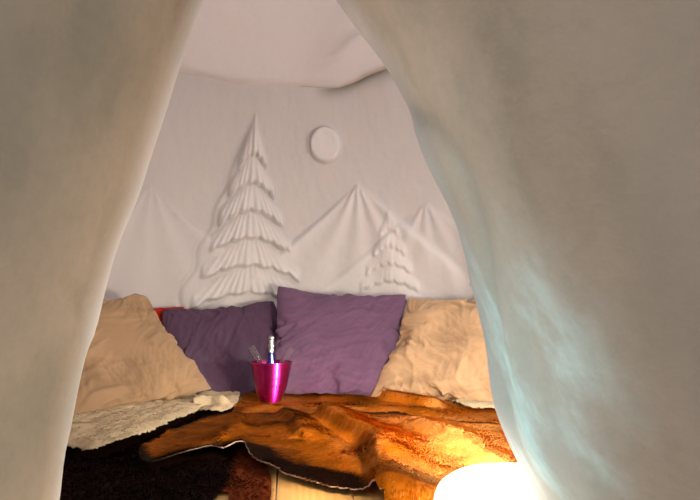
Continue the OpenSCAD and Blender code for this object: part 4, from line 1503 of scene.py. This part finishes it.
def light_world(scene):
    """Even grey-white light; the camera, glossy and clear surfaces see plain white."""
    world = bpy.data.worlds.new("studio")
    world.use_nodes = True
    scene.world = world
    w = Finish(world.node_tree)
    w.tree.nodes.clear()
    rays = [w.node("ShaderNodeLightPath", output=name)
            for name in ("Is Camera Ray", "Is Glossy Ray", "Is Transmission Ray")]
    seen = (rays[0] + rays[1] + rays[2]).math("MINIMUM", 1)
    strength = seen * 0.5 + 0.5
    lit = w.node("ShaderNodeBackground", {}, {"Color": (1, 1, 1, 1), "Strength": strength})
    w.node("ShaderNodeOutputWorld", {}, {"Surface": lit})


def lamp(name, place, power, size, colour, target=None, spread=180):
    """A round panel that faces its target, or without a target a soft bulb."""
    data = bpy.data.lights.new(name, "AREA" if target else "POINT")
    data.energy = power
    data.color = colour
    light = put(name, data)
    light.location = place
    light.visible_camera = False
    if target:
        data.shape = "DISK"
        data.size = size
        data.spread = math.radians(spread)
        light.rotation_euler = (Vector(target) - Vector(place)).to_track_quat("-Z", "Y").to_euler()
    else:
        data.shadow_soft_size = size
    return light


def floor():
    """Pale level ground, a square of even cells."""
    side = np.linspace(-14, 14, 29)
    x, y = np.meshgrid(side, side)
    points = np.stack([x, y, 0 * x - 0.0005], axis=-1)
    mesh = fill_mesh("floor", points.reshape(-1, 3), [grid_faces(*x.shape)])
    s = Surface("pale_floor")
    s.set(Base_Color=s.mix(s.noise(s.where(), 2, 3), paint("e8e8e6"), paint("dededb")), Roughness=0.9)
    mesh.materials.append(s.material)
    put("floor", mesh)


class IGLOO_OT_shell(bpy.types.Operator):
    """Snow shell with its flared, pointed doorway"""
    bl_idname = "igloo.shell"
    bl_label = "Snow shell"

    def execute(self, context):
        mesh, door = shell_mesh()
        soften_shell(mesh, door)
        snow = snow_finish()
        add_piece(mesh, snow, "snow_shell", *SHELL_NODES)
        dress("bed_plinth", snow)
        return {"FINISHED"}


class IGLOO_OT_carving(bpy.types.Operator):
    """Carved back wall: firs, hills and a moon in relief"""
    bl_idname = "igloo.carving"
    bl_label = "Carved wall"

    def execute(self, context):
        add_piece(carving_mesh(), carved_finish(), "carved_snow", "wall_carving")
        return {"FINISHED"}


class IGLOO_OT_stump(bpy.types.Operator):
    """Lit snow stump beside the bed"""
    bl_idname = "igloo.stump"
    bl_label = "Lit stump"

    def execute(self, context):
        add_piece(stump_mesh(), lit_finish(), "lit_snow", "snow_stump")
        return {"FINISHED"}


class IGLOO_OT_deck(bpy.types.Operator):
    """Pine deck and the board along its front"""
    bl_idname = "igloo.deck"
    bl_label = "Pine deck"

    def execute(self, context):
        pine = pine_finish()
        dress("deck_boards", pine)
        dress("bed_front_board", pine)
        return {"FINISHED"}


def lay_hide(hide, node, slot, coat, tone, count, length, width, rise, wild, spread, rim=None, root=-0.3):
    """Lays one skin with its fur."""
    piece, flat, area = hide.sheet(coat, slot, tone, rim, node)
    fur = hide.fur(coat, slot, count, length, width, rise, wild, tone, spread, root)


class IGLOO_OT_hides(bpy.types.Operator):
    """Dark hide and two orange hides"""
    bl_idname = "igloo.hides"
    bl_label = "Hides"

    def execute(self, context):
        c = colours()
        fur = sizes().hide_fur
        dark = fur_finish("dark_fur", scaled(c.dark_fur, 0.4), c.dark_fur, c.red_fur, 0.7, 0.08)
        orange = fur_finish("orange_fur", paint("241106"), c.orange_fur, c.gold_fur, 0.6, 0.05)
        lay_hide(DARK_HIDE, "dark_hide", "dark_fur", dark, dark_tone, count=25000, length=fur,
                 width=0.0040, rise=0.40, wild=0.4, spread=0.08, root=-0.1)
        lay_hide(BACK_HIDE, "tan_hide_back", "tan_fur", orange, back_tone, count=26000, length=fur,
                 width=0.0034, rise=0.40, wild=0.3, spread=0.14)
        lay_hide(FRONT_HIDE, "tan_hide_front", "tan_fur", orange, orange_tone, count=56000, length=fur,
                 width=0.0034, rise=0.30, wild=0.24, spread=0.11, rim=rim_finish(), root=-0.18)
        return {"FINISHED"}


class IGLOO_OT_fleeces(bpy.types.Operator):
    """Three white fleeces with curled locks"""
    bl_idname = "igloo.fleeces"
    bl_label = "Fleeces"

    def execute(self, context):
        c = colours()
        locks = sizes().fleece_fur
        wool = fur_finish(
            "fleece_wool", scaled(c.fleece, 0.72), c.fleece, scaled(c.fleece, 1.08), 0.85, 0.1, 0.005)
        for hide, node, count in ((LEFT_FLEECE, "sheepskin_left", 13000),
                                  (MIDDLE_FLEECE, "sheepskin_middle", 4000),
                                  (RIGHT_FLEECE, "sheepskin_right", 3000)):
            lay_hide(hide, node, "white_fleece", wool, fleece_tone, count, length=locks * 0.6,
                     width=0.0030, rise=0.35, wild=1.6, spread=0.03, root=-0.04)
        return {"FINISHED"}


class IGLOO_OT_pillows(bpy.types.Operator):
    """Four large pillows and a small cushion, stuffed by a cloth simulation"""
    bl_idname = "igloo.pillows"
    bl_label = "Pillows"

    def execute(self, context):
        c = colours()
        # After each colour: the painted shade on the creases, then the painted shade at the left
        cloths = {"tan_linen": linen_finish("tan_linen", c.tan_linen, 0.66, 0.36),
                  "purple_linen": linen_finish("purple_linen", c.purple_linen, 0.78, 0.62),
                  "red_cloth": linen_finish("red_cloth", c.red_cloth)}
        fine = sizes().pillow_cells
        covers = [(pillow, slot, fine if pillow.width > 0.5 else fine // 2) for pillow, slot in PILLOWS]
        covers = [(pillow, slot, cells, pillow.start(cells)) for pillow, slot, cells in covers]
        for pillow, slot, cells, piece in covers:
            pillow.stuff(piece)
        for k in range(1, LAST_FRAME + 1):
            context.scene.frame_set(k)
        for pillow, slot, cells, piece in covers:
            pillow.settle(piece, cells)
            piece.data.materials.append(cloths[slot])
            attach(piece, "root")
            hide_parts(pillow.node)
        context.scene.frame_set(1)
        return {"FINISHED"}


class IGLOO_OT_bucket(bpy.types.Operator):
    """Finishes of the ice bucket, bottle and glasses"""
    bl_idname = "igloo.bucket"
    bl_label = "Ice bucket"

    def execute(self, context):
        dress("ice_bucket", bucket_finish())
        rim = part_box("ice_bucket")[1].z
        dress("bottle", bottle_finish(rim - 0.01, rim + 0.045))
        dress("bottle_foil", foil_finish())
        clear = glass_finish()
        dress("glass_right", clear)
        dress("glass_left", clear)
        return {"FINISHED"}


STEPS = ("stage", "shell", "carving", "stump", "deck", "hides", "fleeces", "pillows", "bucket")


class IGLOO_PT_panel(bpy.types.Panel):
    """Sizes, colours and steps of the igloo"""
    bl_idname = "IGLOO_PT_panel"
    bl_label = "Igloo bedroom"
    bl_space_type = "VIEW_3D"
    bl_region_type = "UI"
    bl_category = "Igloo"

    def draw(self, context):
        column = self.layout.column()
        for group in (sizes(), colours()):
            for name in type(group).__annotations__:
                column.prop(group, name)
        for name in STEPS:
            column.operator("igloo." + name)


CLASSES = (IglooSizes, IglooColours, IGLOO_OT_stage, IGLOO_OT_shell, IGLOO_OT_carving, IGLOO_OT_stump,
           IGLOO_OT_deck, IGLOO_OT_hides, IGLOO_OT_fleeces, IGLOO_OT_pillows, IGLOO_OT_bucket,
           IGLOO_PT_panel)


def register():
    for each in CLASSES:
        bpy.utils.register_class(each)
    bpy.types.Scene.igloo_sizes = PointerProperty(type=IglooSizes)
    bpy.types.Scene.igloo_colours = PointerProperty(type=IglooColours)


def unregister():
    del bpy.types.Scene.igloo_colours
    del bpy.types.Scene.igloo_sizes
    for each in reversed(CLASSES):
        bpy.utils.unregister_class(each)


def main():
    register()
    for name in STEPS:
        getattr(bpy.ops.igloo, name)()
    bpy.context.view_layer.update()


if __name__ == "__main__":
    main()
